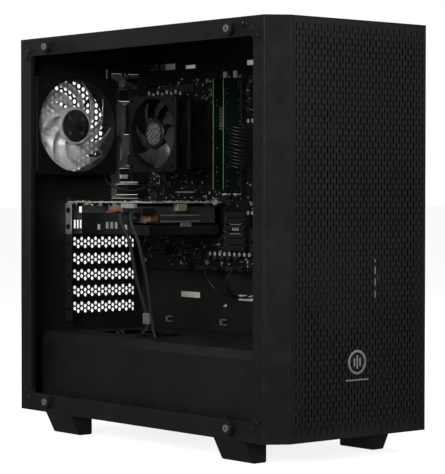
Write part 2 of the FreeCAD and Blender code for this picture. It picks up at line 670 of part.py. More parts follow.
def make_slot_covers():
    """Five vented blanking covers, each with a flange folded inwards that is screwed to the ledge."""
    covers = []
    for number in range(2, 7):
        centre = slot_centre(number)
        left = at.flange_face
        right = at.board_face - 3
        low = centre - 9.1
        high = centre + 9.1
        depth = at.inner_rear - at.plate
        holes = []
        for column in range(19):
            across = at.board_face - 105 + 5.4 * column
            for row in (-1, 1):
                up = centre + row * 3.15 + (1.6 if column % 2 else -1.6)
                holes.append(outline(hexagon(across, up, 5.0), "y", depth))
        plate = perforated(outline([(left, low), (right, low), (right, high), (left, high)], "y", depth),
                           holes, "y", at.plate)
        fold = solid_box((left, at.inner_rear - 12, low), (left + at.plate, at.inner_rear, high))
        covers.append(plate.fuse(fold))
    shaped("slot_covers", Part.makeCompound(covers))


def make_case_screws():
    """Screws of the expansion slots, fans and power supply, and the rivet heads round the window."""
    screws = [feature("rivets", Part.makeCompound(rivet_heads()))]
    for number in range(7):
        height = f"card_plane - 9.7 - {number} * slot_pitch"
        screws.append(rod(("flange_face - 2.2", "inner_rear - 7", height), "x", "3.2", "2.2"))
    for side in (-1, 1):
        for up in (-1, 1):
            rear = (f"rear_fan_x + {side} * fan_hole_spread / 2", "rear_face",
                    f"rear_fan_z + {up} * fan_hole_spread / 2")
            screws.append(rod(rear, "y", "3.5", "2"))
            front = (f"front_fan_x + {side} * fan_hole_spread / 2", "chassis_front - 2",
                     f"front_fan_z + {up} * fan_hole_spread / 2")
            screws.append(rod(front, "y", "3.5", "2"))
            supply = (f"psu_left + psu_width / 2 + {side} * 73", "rear_face",
                      f"psu_low + psu_height / 2 + {up} * 39")
            screws.append(rod(supply, "y", "2", "2"))
    group("case_screws", screws)


def make_fans():
    """Rear and front case fans: housings bolted to the plates, rotors turning in them."""
    depth = at.fan_depth
    rear_y = at.inner_rear - depth
    shaped("rear_fan_frame", fan_frame((at.rear_fan_x, rear_y, at.rear_fan_z), "y", at.fan_size, depth, 1))
    blades = (55.5, 20, depth - 7, 9, 17, 38, 24, 6.0)
    shaped("rear_fan_rotor", fan_rotor((at.rear_fan_x, rear_y + 2, at.rear_fan_z), "y", *blades))
    front_y = at.inner_front
    front_centre = (at.front_fan_x, front_y, at.front_fan_z)
    shaped("front_fan_frame", fan_frame(front_centre, "y", at.fan_size, depth, 1))
    shaped("front_fan_rotor", fan_rotor((at.front_fan_x, front_y + 2, at.front_fan_z), "y", *blades))


# ---------------------------------------------------------------- front, sides and top covers

def make_front_bezel():
    """Moulded front: a tall shell with a slanted left wall, four clip pins, and a rim that holds the mesh."""
    left = at.left_face
    right = at.right_face
    back = at.chassis_front - 0.2
    seat = at.front_face + at.mesh_thick
    wall = at.bezel_wall
    depth = back - at.front_face
    edge = left + at.chamfer_width
    outer = [(left, back), (edge, at.front_face), (edge + 3, at.front_face), (edge + 3, seat), (right, seat),
             (right, back)]
    shift = wall * math.hypot(at.chamfer_width, depth) / depth
    run = (back - seat - wall) * at.chamfer_width / depth
    inner = [(left + shift, back), (left + shift + run, seat + wall), (right - wall, seat + wall),
             (right - wall, back)]
    shell = Part.Face(outline(outer, "z", at.deck)).extrude(Vector(0, 0, at.chassis_height))
    hollow = Part.Face(outline(inner, "z", at.deck + wall))
    hollow = hollow.extrude(Vector(0, 0, at.chassis_height - 2 * wall))
    window = solid_box((edge + 8, at.front_face - 1, at.deck + 8),
                       (right - 8, seat + wall + 1, at.top_face - 8))
    pins = []
    for height in (at.inner_deck + 30, at.inner_top - 30):
        pins.append(cylinder((at.inner_left + 14, at.chassis_front - 7.5, height), "y", 3, 13.5))
        pins.append(cylinder((at.inner_right - 4.5, seat + 1, height), "y", 3,
                             at.chassis_front + 6 - seat - 1))
    body = shell.cut(hollow).cut(window)
    shaped("front_bezel", body)
    shaped("bezel_clips", Part.makeCompound([pin.cut(body) for pin in pins]))


def make_front_mesh():
    """Flat front sheet with a staggered field of short upright slots."""
    depth = at.front_face
    low_x = at.left_face + at.chamfer_width + 3
    width = at.right_face - low_x
    centre_x = low_x + width / 2
    centre_z = at.deck + at.chassis_height / 2
    outer = outline(rectangle(centre_x, centre_z, width, at.chassis_height), "y", depth)
    holes = []
    for across, up in honeycomb((centre_x, centre_z), width - 22, at.chassis_height - 30, MESH_PITCH[0],
                                MESH_PITCH[1], lambda across, up: True):
        holes.append(outline(rectangle(across, up, MESH_SLOT[0], MESH_SLOT[1]), "y", depth))
    shaped("front_mesh", perforated(outer, holes, "y", at.mesh_thick))


def make_right_panel():
    """Right side panel with a folded rear edge that two thumbscrews hold to the rear plate."""
    skin = box(("right_face - plate", "chassis_front", "deck"),
               ("plate", "rear_face - chassis_front + 1.3", "chassis_height"))
    fold = box(("right_face - 14", "rear_face + clearance", "deck"), ("14", "plate", "chassis_height"))
    node("right_panel", fuse([skin, fold]))
    screws = []
    for height in ("deck + 60", "top_face - 60"):
        head = rod(("right_face - 8", "rear_face + plate + clearance", height), "y", "5",
                   "thumb_reach - plate - clearance")
        screws.append(head)
    group("panel_thumbscrews", screws)


def make_filters():
    """Magnetic filter frame on the top panel, and a sliding one under the power supply."""
    middle = at.front_fan_x
    low_y = at.inner_front + 66
    high_y = at.inner_rear - 10
    centre = (low_y + high_y) / 2
    outer = outline(rectangle(middle, centre, 184, high_y - low_y), "z", at.top_face + 0.1)
    holes = []
    pitch = (high_y - low_y - 4) / 7
    for column in range(4):
        for row in range(7):
            holes.append(outline(rectangle(middle - 67.5 + 45 * column, low_y + 2 + pitch * (row + 0.5), 41,
                                           pitch - 4), "z", at.top_face + 0.1))
    frame = perforated(outer, holes, "z", 1.6)
    cloth = solid_box((middle - 88, low_y + 3, at.top_face + 0.5),
                      (middle + 88, high_y - 3, at.top_face + 0.8))
    shaped("top_filter", frame.fuse(cloth))
    left = at.psu_left + 8
    right = at.psu_left + at.psu_width - 8
    rear = at.inner_rear - 2
    frame = solid_box((left, rear - 136, at.deck - 3.2), (right, rear, at.deck - 0.4))
    for column in range(3):
        for row in range(3):
            low_x = left + 5 + column * 42.3
            frame = frame.cut(solid_box((low_x, rear - 131 + row * 43, at.deck - 3.3),
                                        (low_x + 39, rear - 131 + row * 43 + 40, at.deck - 0.3)))
    cloth = solid_box((left + 3, rear - 133, at.deck - 2.0), (right - 3, rear - 3, at.deck - 1.7))
    tab = solid_box(((left + right) / 2 - 15, rear - 0.5, at.deck - 3.2),
                    ((left + right) / 2 + 15, rear + 2, at.deck - 0.4))
    shaped("psu_filter", frame.multiFuse([cloth, tab]))


def make_button(label, across, radius, travel):
    """A round push button: cap, stem and a collar under the top panel that stops it from coming out."""
    body = doc.addObject("PartDesign::Body", label)
    plane = [item for item in body.Origin.OriginFeatures if item.Role == "XZ_Plane"][0]
    sketch = body.newObject("Sketcher::SketchObject", label + "_profile")
    sketch.AttachmentSupport = [(plane, "")]
    sketch.MapMode = "FlatFace"
    collar_top = -at.plate - 0.3
    collar_low = collar_top - travel - 0.3
    profile = [(0, 1.2), (radius - 0.8, 1.2), (radius, 0.4), (radius, collar_top), (radius + 1.2, collar_top),
               (radius + 1.2, collar_low), (1.5, collar_low), (1.5, collar_low - 3), (0, collar_low - 3)]
    corners = [Vector(reach, up, 0) for reach, up in profile]
    sketch.addGeometry([Part.LineSegment(first, second) for first, second in
                        zip(corners, corners[1:] + corners[:1])], False)
    turned = body.newObject("PartDesign::Revolution", label + "_turned")
    turned.Profile = sketch
    turned.ReferenceAxis = (sketch, ["V_Axis"])
    turned.Angle = 360
    bind(body, {"Placement.Base.x": f"front_fan_x + {across}", "Placement.Base.y": "inner_front + 22",
                "Placement.Base.z": "top_face"})
    node(label, body)


def make_usb_ports():
    """Port board under the top panel's front edge: USB sockets, audio jacks and the buttons' switches."""
    middle = at.front_fan_x
    centre = at.inner_front + 22
    board = solid_box((middle - 74, centre - 13, at.inner_top - 19),
                      (middle + 74, centre + 13, at.inner_top - 17.4))
    pieces = [board]
    for place in PORT_PLACES:
        across = middle + place["across"]
        if place["kind"] == "usb":
            shell = solid_box((across - 6.5, centre - 2.9, at.inner_top - 17.4),
                              (across + 6.5, centre + 2.9, at.top_face - 0.1))
            pocket = solid_box((across - 6.0, centre - 2.4, at.inner_top - 10),
                               (across + 6.0, centre + 2.4, at.top_face))
            tongue = solid_box((across - 5.2, centre - 2.4, at.inner_top - 10.5),
                               (across + 5.2, centre - 0.6, at.top_face - 1.5))
            pieces.append(shell.cut(pocket).fuse(tongue))
        else:
            jack = cylinder((across, centre, at.inner_top - 17.4), "z", 3.6, 17.3 + at.plate)
            pieces.append(jack.cut(cylinder((across, centre, at.inner_top - 12), "z", 1.8, 14)))
    for across in (-62, -40):
        pieces.append(solid_box((middle + across - 3, centre - 3, at.inner_top - 17.4),
                                (middle + across + 3, centre + 3, at.inner_top - 9.5)))
    for across in (-70, 60):
        pieces.append(cylinder((middle + across, centre + 9, at.inner_top - 17.4), "z", 2.5, 17.4))
    shaped("usb_ports", board.multiFuse(pieces[1:]))


# ---------------------------------------------------------------- motherboard

def make_motherboard():
    """Micro-ATX circuit board on brass standoffs, screwed through nine holes."""
    board = box(("board_face", "board_front", "board_bottom"), ("board_thick", "board_size", "board_size"))
    holes = []
    posts = []
    for from_rear in STANDOFF_COLUMNS:
        for from_top in STANDOFF_ROWS:
            across = f"board_rear - {from_rear}"
            up = f"board_top - {from_top}"
            holes.append(rod(("board_face", across, up), "x", "1.9", "board_thick"))
            posts.append(rod(("board_back", across, up), "x", "standoff_radius", "standoff_height"))
            posts.append(fuse([rod(("board_face - 1.6", across, up), "x", "2.9", "1.6"),
                               rod(("board_face", across, up), "x", "1.5", "board_thick")]))
    node("motherboard", cut(board, holes))
    group("board_standoffs", posts)


def make_cpu_cooler():
    """Extruded aluminium cooler: a base over the processor and a stack of level fins."""
    base = box(("fin_root", "cpu_y - 32", "cpu_z - cooler_height / 2"),
               ("cooler_base", "64", "cooler_height"))
    pieces = [base]
    count = int(at.cooler_height / at.fin_pitch)
    for number in range(count + 1):
        pieces.append(box(("fin_tip", "cpu_y - cooler_width / 2",
                           f"cpu_z - cooler_height / 2 + {number} * (cooler_height - fin_thick) / {count}"),
                          ("fin_depth", "cooler_width", "fin_thick")))
    node("cpu_cooler", fuse(pieces))
    start = (at.fin_tip - at.fan_depth, at.cpu_y, at.cpu_z)
    shaped("cpu_fan_frame", fan_frame(start, "x", at.cpu_fan_size, at.fan_depth, 1))
    shaped("cpu_fan_rotor", fan_rotor((start[0] + 2, at.cpu_y, at.cpu_z), "x", 41.5, 17, at.fan_depth - 7, 7,
                                      19, 36, 30, 6.0))


def make_memory():
    """Two memory sockets with their modules, and a swinging latch at each socket's upper end."""
    sockets = []
    modules = []
    for number, label in enumerate(("ram_latch_outer", "ram_latch_inner")):
        middle = at.memory_y - number * at.memory_pitch
        low = at.memory_z - at.socket_length / 2
        high = at.memory_z + at.socket_length / 2
        half = at.socket_width / 2
        face = at.board_face
        half_module = at.module_length / 2
        socket = solid_box((face - at.socket_height, middle - half, low), (face, middle + half, high))
        pocket = solid_box((face - 12, middle - 2.2, at.memory_z + half_module + 0.2),
                           (face - 1.5, middle + 2.2, high + 1))
        groove = solid_box((face - 12, middle - 0.7, at.memory_z - half_module - 0.2),
                           (face - 2.5, middle + 0.7, at.memory_z + half_module + 0.3))
        lower_end = solid_box((face - 17, middle - 2.8, low),
                              (face - at.socket_height, middle + 2.8, low + 3.9))
        pivot = (face - 4, middle, high - 2.2)
        hole = cylinder((pivot[0], middle - half, pivot[2]), "y", 0.86, at.socket_width)
        sockets.append(socket.cut(pocket).cut(groove).cut(hole).fuse(lower_end))
        board = solid_box((face - 3 - at.module_height, middle - 0.6, at.memory_z - half_module),
                          (face - 3, middle + 0.6, at.memory_z + half_module))
        chips = []
        for chip in range(8):
            centre = at.memory_z + (chip - 3.5) * 15.6 + (3.0 if chip > 3 else -3.0)
            chips.append(solid_box((face - 30, middle + 0.6, centre - 4.5),
                                   (face - 17, middle + 1.7, centre + 4.5)))
        modules.append(board.multiFuse(chips))
        lever = solid_box((face - 17, middle - 2.0, pivot[2] - 1.4), (face - 3, middle + 2.0, pivot[2] + 1.6))
        tab = solid_box((face - 17, middle - 2.8, pivot[2] - 1.4), (face - 14, middle + 2.8, pivot[2] + 6.5))
        pin = cylinder((pivot[0], middle - half, pivot[2]), "y", 0.8, at.socket_width)
        shaped(label, lever.multiFuse([tab, pin]))
    shaped("ram_sockets", Part.makeCompound(sockets))
    shaped("ram_modules", Part.makeCompound(modules))


def board_block(from_rear, from_top, height, width, length, base=0.0):
    """A box standing on the board: width towards the front, length downwards, from its rear upper corner."""
    return solid_box((at.board_face - base - height, at.board_rear - from_rear - width,
                      at.board_top - from_top - length),
                     (at.board_face - base, at.board_rear - from_rear, at.board_top - from_top))


def board_can(from_rear, from_top, radius, height):
    return cylinder((at.board_face - height, at.board_rear - from_rear, at.board_top - from_top), "x",
                    radius, height)


def make_board_sockets():
    """Expansion, power and drive sockets: blocks with the slots that cards and plugs go into."""
    blocks = []
    for number, long_socket in ((0, True), (1, False), (2, True), (3, False)):
        from_top = at.card_drop + number * at.slot_pitch
        length = 89.0 if long_socket else 25.0
        block = board_block(46, from_top - 4.6, 11.0, length, 7.6)
        slit = board_block(47, from_top - 1.8, 8.5, length - 2, 2.0, base=3.0)
        blocks.append(block.cut(slit))
    main = board_block(at.board_size - 10.5, 66.0, 12.5, 9.6, 52.0)
    blocks.append(main)
    blocks.append(board_block(24, 3.0, 12.5, 19, 9.6))
    for number in range(4):
        port = board_block(at.board_size - 16.0, 190.0 + number * 9.0, 8.0, 15.0, 7.0)
        blocks.append(port)
    shaped("board_sockets", Part.makeCompound(blocks))


def make_board_parts():
    """Components soldered to the board: processor socket, chokes, capacitors, chips, coin cell, headers."""
    face = at.board_face
    parts = [solid_box((face - at.cpu_stack, at.cpu_y - 20, at.cpu_z - 20),
                       (face, at.cpu_y + 20, at.cpu_z + 20))]
    for number in range(5):
        parts.append(board_block(68 + number * 11, 14, 7.0, 8.5, 8.5))
        parts.append(board_can(72 + number * 11, 30, 3.2, 9.0))
    for number in range(4):
        parts.append(board_block(42, 62 + number * 13, 7.0, 9.5, 9.5))
        parts.append(board_can(60, 66 + number * 13, 3.2, 9.0))
    for number in range(5):
        parts.append(board_can(FIRST_LOW_CAN + number * 13, 226, 3.6, 8.5))
    for number in range(4):
        parts.append(board_can(226, 20 + number * 9.5, 3.2, 8.5))
    for from_rear, from_top, size in ((110, 187, 8.5), (104, 210, 9), (120, 172, 8), (30, 186, 7),
                                      (150, 203, 8)):
        parts.append(board_block(from_rear, from_top, 1.4, size, size))
    parts.append(board_can(172, 162, 10.0, 3.2))
    for from_rear in HEADERS:
        parts.append(board_block(from_rear, 237, 8.5, 18, 5.0))
    for from_rear, from_top in FAN_HEADERS:
        parts.append(board_block(from_rear, from_top, 8.5, 8, 5.0))
    shaped("board_parts", Part.makeCompound(parts))


def make_chipset_heatsink():
    """Low finned block over the chipset, with grooves across its face."""
    face = at.board_face
    front = at.board_front + 20.0
    low = at.board_bottom + 26.0
    block = solid_box((face - 13, front, low), (face - 2, front + 37, low + 47))
    for number in range(5):
        groove = low + 6 + number * 8
        block = block.cut(solid_box((face - 14, front - 1, groove), (face - 9, front + 38, groove + 2.5)))
    chip = solid_box((face - 2, front + 8, low + 12), (face, front + 29, low + 33))
    shaped("chipset_heatsink", block.fuse(chip))


def make_io_ports():
    """Row of ports on the board's rear edge, and the pressed plate they look out through."""
    ports = []
    holes = []
    shield_depth = at.inner_rear + 0.2
    base = at.card_plane + 5
    for low, high, height, depth in REAR_PORTS:
        block = solid_box((at.board_face - height, at.board_rear - depth, base + low),
                          (at.board_face, at.rear_face + 0.2, base + high))
        mouth = solid_box((at.board_face - height + 1.5, at.board_rear - depth + 4, base + low + 1.5),
                          (at.board_face - 2.5, at.rear_face + 1, base + high - 1.5))
        ports.append(block.cut(mouth))
        centre = (at.board_face - height / 2, base + (low + high) / 2)
        holes.append(outline(rectangle(centre[0], centre[1], height + 0.8, high - low + 0.8), "y",
                             shield_depth))
    shaped("io_ports", Part.makeCompound(ports))
    outer = outline(rectangle(at.board_face - 19.7, base + PORT_HEIGHT / 2, PORT_WIDTH - 0.4,
                              PORT_HEIGHT - 0.4),
                    "y", shield_depth)
    shaped("io_shield", perforated(outer, holes, "y", 0.5))


# ---------------------------------------------------------------- graphics card

def make_graphics_card():
    """Card standing in the first slot: board, bracket, finned block on heat pipes, shroud and two fans."""
    plane = at.card_plane
    rear = at.card_rear
    front = at.card_front
    top = at.card_top
    edge = at.board_face - 11.5
    board = solid_box((top, front, plane), (edge, rear, plane + 1.6))
    fingers = solid_box((edge, rear - 132, plane), (at.board_face - 3.2, rear - 48, plane + 1.6))
    back_plate = solid_box((top + 1, front + 1, plane + 3.4), (edge - 6, rear - 6, plane + 4.4))
    spacers = [cylinder((top + 12, place, plane + 1.6), "z", 3, 1.8) for place in (front + 14, rear - 40)]
    corner = solid_box((top - 1, rear - 16, plane - 1), (at.flange_face + 4, rear + 1, plane + 6))
    shaped("gpu_board", board.multiFuse([fingers, back_plate] + spacers).cut(corner))
    low = slot_centre(1) - 9.1
    high = slot_centre(0) + 9.1
    left = at.flange_face
    depth = at.inner_rear - at.plate
    vents = [outline(rectangle(left + 13.5 + 4.6 * number, low + 13, 3, 12.6), "y", depth)
             for number in range(18)]
    sockets = [outline(rectangle(left + 30, high - 8, 20, 8), "y", depth),
               outline(rectangle(left + 56, high - 8, 17, 7), "y", depth)]
    plate = perforated(outline([(left, low), (at.board_face - 3, low), (at.board_face - 3, high),
                                (left, high)],
                               "y", depth), vents + sockets, "y", at.plate)
    fold = solid_box((left, at.inner_rear - 12, low), (left + at.plate, at.inner_rear, high))
    shaped("gpu_bracket", plate.fuse(fold))
    fin_low = plane - 24
    fin_high = plane - 4
    first = front + 8
    last = rear - 30
    count = int((last - first) / 2.6)
    core = solid_box((top + 26, first, fin_high - 3), (edge - 24, last, fin_high))
    stack = [solid_box((top + 6, first + number * 2.6, fin_low),
                       (edge - 8, first + number * 2.6 + 0.5, fin_high))
             for number in range(count + 1)]
    block = solid_box((top + 40, rear - 120, plane - 4), (top + 80, rear - 80, plane))
    pipe_length = at.card_length + 10
    pipe_cuts = [cylinder((top + 30 + 14 * number, front - 5, plane - 14), "y", 3.1, pipe_length)
                 for number in range(4)]
    # The rear outer corner of the fins and the shroud is cut off, which leaves the bracket's vents open.
    slant = Part.Face(outline([(top - 3, rear - 50), (top - 3, rear), (top + 16, rear),
                               (top + 16, rear - 23.5)],
                              "z", plane - at.card_thick - 1)).extrude(Vector(0, 0, at.card_thick))
    fins = core.multiFuse(stack).cut(Part.makeCompound(pipe_cuts)).cut(slant)
    shaped("gpu_heatsink", Part.makeCompound([fins, block]))
    pipes = [cylinder((top + 30 + 14 * number, front + 10, plane - 14), "y", 3.0, rear - front - 44)
             for number in range(4)]
    pipe_x = top + 3.0
    bent = [(pipe_x, rear - 54, plane - 19), (pipe_x, rear - 80, plane - 19), (pipe_x, rear - 106, plane - 9),
            (pipe_x, rear - 130, plane - 7)]
    shaped("gpu_heatpipes", Part.makeCompound(pipes + [cord(bent, 5.8)]))
    base = plane - at.card_thick
    cover = solid_box((top - 2, front + 3, base), (edge - 6, rear - 24, base + 12))
    cover = cover.cut(solid_box((top, front + 5, base + 2), (edge - 8, rear - 26, base + 13)))
    skirt = solid_box((top - 2, rear - 142, base + 12), (top, rear - 28, base + 26))
    cover = cover.fuse(skirt).cut(slant)
    radius = at.card_fan_radius
    fan_x = (top + edge - 8) / 2
    for label, place in (("gpu_fan_rear", rear - 28 - radius), ("gpu_fan_front", front + 7 + radius)):
        cover = cover.cut(cylinder((fan_x, place, base - 1), "z", radius + 2.5, 4))
        spider = [solid_box((top - 1, place - 1.5, base + 10), (edge - 7, place + 1.5, base + 12)),
                  cylinder((fan_x, place, base + 10), "z", 14, 2)]
        cover = cover.multiFuse(spider).cut(cylinder((fan_x, place, base + 9), "z", 1.55, 4))
        shaped(label, fan_rotor((fan_x, place, base + 1.0), "z", radius, 16, 8.2, 11, 9, 30, 34, 5.0))
    shaped("gpu_shroud", cover)


# ---------------------------------------------------------------- power supply and drive

def make_power_supply():
    """Power supply: folded steel case, fan and wire guard below, inlet and rocker switch at the rear."""
    left = at.psu_left
    right = left + at.psu_width
    low = at.psu_low
    high = low + at.psu_height
    front = at.psu_front
    rear = at.inner_rear
    wall = at.psu_wall
    case = solid_box((left, front, low), (right, rear, high))
    case = case.cut(solid_box((left + wall, front + wall, low + wall),
                              (right - wall, rear - wall, high - wall)))
    fan_x = (left + right) / 2
    fan_y = (front + rear) / 2
    case = case.cut(cylinder((fan_x, fan_y, low - 1), "z", 57, 3))
    inlet = (left + 26, low + 30)
    switch = (left + 26, low + 60)
    case = case.cut(solid_box((inlet[0] - 14.2, rear - 2, inlet[1] - 10.2),
                              (inlet[0] + 14.2, rear + 1, inlet[1] + 10.2)))
    case = case.cut(solid_box((switch[0] - 10.2, rear - 2, switch[1] - 7.2),
                              (switch[0] + 10.2, rear + 1, switch[1] + 7.2)))
    vents = []
    for across, up in honeycomb((left + 96, low + 43), 88, 66, 9.0, 10.4, lambda across, up: True):
        vents.append(Part.Face(outline(hexagon(across, up, 8.4), "y", rear - 2)).extrude(Vector(0, 3, 0)))
    case = case.cut(Part.makeCompound(vents))
    case = case.cut(solid_box((left + 40, front - 1, low + 40), (left + 75, front + 2, low + 62)))
    case = case.cut(solid_box((left + 100, front - 1, low + 40), (left + 140, front + 2, low + 62)))
    spider = [solid_box((fan_x - 60, fan_y - 1.5, low + 22), (fan_x + 60, fan_y + 1.5, low + 24)),
              solid_box((fan_x - 1.5, fan_y - 60, low + 22), (fan_x + 1.5, fan_y + 60, low + 24)),
              cylinder((fan_x, fan_y, low + 22), "z", 18, 2)]
    for side in (-1, 1):
        spider.append(solid_box((fan_x + side * 60 - 2, fan_y - 4, low + wall),
                                (fan_x + side * 60 + 2, fan_y + 4, low + 24)))
        spider.append(solid_box((fan_x - 4, fan_y + side * 60 - 2, low + wall),
                                (fan_x + 4, fan_y + side * 60 + 2, low + 24)))
    case = case.multiFuse(spider).cut(cylinder((fan_x, fan_y, low + 21), "z", 1.55, 4))
    shaped("psu_case", case)
    shaped("psu_fan_rotor", fan_rotor((fan_x, fan_y, low + 2.6), "z", 55, 19, 17.5, 7, 22, 36, 26, 5.9))
    rings = []
    for radius in (14, 26, 38, 50, 59):
        rings.append(Part.makeTorus(radius, 0.8, Vector(fan_x, fan_y, low - 0.8)))
    bars = [cylinder((fan_x - 60, fan_y, low - 2.0), "x", 0.8, 120),
            cylinder((fan_x, fan_y - 60, low - 2.0), "y", 0.8, 120)]
    shaped("psu_grille", rings[0].multiFuse(rings[1:] + bars))
    socket = solid_box((inlet[0] - 14, rear - 16, inlet[1] - 10), (inlet[0] + 14, rear + 0.4, inlet[1] + 10))
    socket = socket.cut(solid_box((inlet[0] - 12, rear - 12, inlet[1] - 8),
                                  (inlet[0] + 12, rear + 2, inlet[1] + 8)))
    blades = [solid_box((inlet[0] - 1, rear - 13, inlet[1] + 1), (inlet[0] + 1, rear - 2, inlet[1] + 5))]
    for side in (-7, 7):
        blades.append(solid_box((inlet[0] + side - 1, rear - 13, inlet[1] - 4),
                                (inlet[0] + side + 1, rear - 2, inlet[1])))
    body = solid_box((switch[0] - 10, rear - 14, switch[1] - 7), (switch[0] + 10, rear + 0.4, switch[1] + 7))
    pocket = solid_box((switch[0] - 8.5, rear - 10, switch[1] - 5.5),
                       (switch[0] + 8.5, rear + 2, switch[1] + 5.5))
    pivot_bore = cylinder((switch[0], rear - 4, switch[1] - 7), "z", 0.86, 14)
    shaped("power_inlet", Part.makeCompound([socket.multiFuse(blades), body.cut(pocket).cut(pivot_bore)]))
    profile = [(-7.2, 1.2), (0, -0.6), (7.2, 1.2), (7.2, -2.0), (2.0, -6.0), (-2.0, -6.0), (-7.2, -2.0)]
    rocker = Part.Face(outline([(switch[0] + across, rear + along) for across, along in profile],
                               "z", switch[1] - 5.1)).extrude(Vector(0, 0, 10.2))
    pin = cylinder((switch[0], rear - 4, switch[1] - 7), "z", 0.8, 14)
    rocker = rocker.fuse(pin)
    rocker.rotate(Vector(switch[0], rear - 4, 0), Vector(0, 0, 1), -ROCKER_TILT)
    shaped("power_rocker", rocker)


def make_drive_bay():
    """Two-bay cage under the shroud, and the hard drive in its lower bay."""
    rear = at.inner_front + 150
    front = rear - at.drive_width - 4
    low = at.inner_deck
    left = at.shroud_face + 20
    right = left + at.drive_length + 4
    wall = at.plate
    cage = solid_box((left, front, low), (right, rear, low + 72))
    for shelf in (1, 37):
        cage = cage.cut(solid_box((left + wall if shelf == 1 else left - 1, front + wall, low + shelf),
                                  (right + 1, rear - wall, low + shelf + 34)))
    for column in range(3):
        cage = cage.cut(cylinder((left + 30 + 45 * column, front - 1, low + 18), "y", 8, at.drive_width + 8))
    shaped("drive_cage", cage)
    base = solid_box((left + 2, front + 2, low + 3),
                     (left + 2 + at.drive_length, rear - 2, low + 3 + at.drive_height))
    lid = solid_box((left + 8, front + 5, low + 3 + at.drive_height),
                    (left + 140, rear - 5, low + 3.8 + at.drive_height))
    rails = solid_box((left + 10, front + 10, low + 1), (left + 140, rear - 10, low + 3))
    shaped("hard_drive", base.multiFuse([lid, rails]))


# ---------------------------------------------------------------- leads

def make_leads():
    """Power and signal leads, each whole from plug to plug, and the plugs on their ends."""
    shaped("gpu_power_cables", Part.makeCompound([cord(route, 6.0) for route in CARD_LEADS]))
    shaped("main_power_cable", Part.makeCompound([cord(route, 5.0) for route in MAIN_LEADS]))
    shaped("cpu_power_cable", Part.makeCompound([cord(route, 5.0) for route in CPU_LEADS]))
    shaped("thin_leads", Part.makeCompound([cord(route, 2.6) for route in THIN_LEADS]))
    plugs = [board_block(233.5, 66.5, 17.25, 9.6, 51.0, base=12.5),
             board_block(24.5, 3.4, 15.25, 18.0, 8.8, base=12.5),
             board_block(243.0, 190.5, 6.5, 14.0, 6.0, base=0.75)]
    for from_rear in (HEADERS[2], HEADERS[4]):
        plugs.append(board_block(from_rear + 0.5, 237.2, 9.25, 17.0, 4.6, base=8.5))
    for from_rear, from_top in FAN_HEADERS:
        plugs.append(board_block(from_rear + 0.5, from_top + 0.2, 9.25, 7.0, 4.6, base=8.5))
    for forward in (165, 145):
        plugs.append(solid_box((at.card_top - 11.75, at.card_rear - forward - 18, at.card_plane - 15),
                               (at.card_top + 5.25, at.card_rear - forward, at.card_plane - 6)))
    drive_end = at.shroud_face + 22 + at.drive_length
    for low_y, high_y in ((at.inner_front + 90, at.inner_front + 108),
                          (at.inner_front + 112, at.inner_front + 122)):
        plugs.append(solid_box((drive_end, low_y, at.inner_deck + 4),
                               (drive_end + 12.5, high_y, at.inner_deck + 11)))
    shaped("cable_plugs", Part.makeCompound(plugs))


# ---------------------------------------------------------------- the whole tower

def main():
    for build in (make_bottom_pan, make_top_panel, make_rear_panel, make_window_frame, make_front_wall,
                  make_motherboard_tray, make_psu_shroud, make_corner_plates, make_glass_posts,
                  make_feet, make_slot_covers, make_case_screws, make_fans, make_front_bezel, make_front_mesh,
                  make_right_panel, make_filters, make_usb_ports, make_motherboard, make_cpu_cooler,
                  make_memory, make_board_sockets, make_board_parts, make_chipset_heatsink, make_io_ports,
                  make_graphics_card, make_power_supply, make_drive_bay, make_leads):
        build()
    make_button("power_button", -62, 7.0, 1.5)
    make_button("reset_button", -40, 3.6, 1.0)
    doc.recompute()
    for item in doc.Objects:
        if "Invalid" in item.State or "Error" in item.State:
            raise RuntimeError(f"{item.Label} did not build: {item.State}")
    os.makedirs("parts", exist_ok=True)
    unsound = [label for label, item in nodes.items()
               if item.Shape.isNull() or not item.Shape.isValid() or not item.Shape.Solids]
    if unsound:
        raise RuntimeError(f"no sound shape: {unsound}")
    for label, item in nodes.items():
        item.Shape.exportStep(f"parts/{label}.step")
    print(f"{len(nodes)} nodes written")


main()
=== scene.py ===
"""Looks of the desktop computer tower: materials, fine pieces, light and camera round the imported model."""
import bpy
import bmesh
import math
import random
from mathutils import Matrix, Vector


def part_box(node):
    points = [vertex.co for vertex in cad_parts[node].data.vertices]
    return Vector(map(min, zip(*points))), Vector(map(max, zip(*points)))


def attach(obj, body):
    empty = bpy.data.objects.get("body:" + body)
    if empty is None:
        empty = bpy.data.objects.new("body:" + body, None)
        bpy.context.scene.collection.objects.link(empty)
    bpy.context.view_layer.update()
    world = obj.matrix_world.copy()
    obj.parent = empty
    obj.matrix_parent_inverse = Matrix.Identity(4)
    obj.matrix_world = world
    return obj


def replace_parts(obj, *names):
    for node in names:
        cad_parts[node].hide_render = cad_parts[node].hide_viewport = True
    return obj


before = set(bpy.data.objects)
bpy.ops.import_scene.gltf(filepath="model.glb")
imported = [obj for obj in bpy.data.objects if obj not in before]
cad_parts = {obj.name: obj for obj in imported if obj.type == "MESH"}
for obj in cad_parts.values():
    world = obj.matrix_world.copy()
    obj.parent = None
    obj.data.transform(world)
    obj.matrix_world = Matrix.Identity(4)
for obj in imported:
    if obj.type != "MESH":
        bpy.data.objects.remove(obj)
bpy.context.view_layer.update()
MM = 0.001
X, Y, Z = 0, 1, 2


def place(x, y, z):
    """A point of the model given in millimetres."""
    return Vector((x, y, z)) * MM


def low(node, axis):
    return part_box(node)[0][axis] / MM


def high(node, axis):
    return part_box(node)[1][axis] / MM


def middle(node, axis):
    return (low(node, axis) + high(node, axis)) / 2


def new_object(name, data):
    """An object with that data, in the scene."""
    piece = bpy.data.objects.new(name, data)
    bpy.context.scene.collection.objects.link(piece)
    return piece


# ---------------- materials

MATERIALS = {}


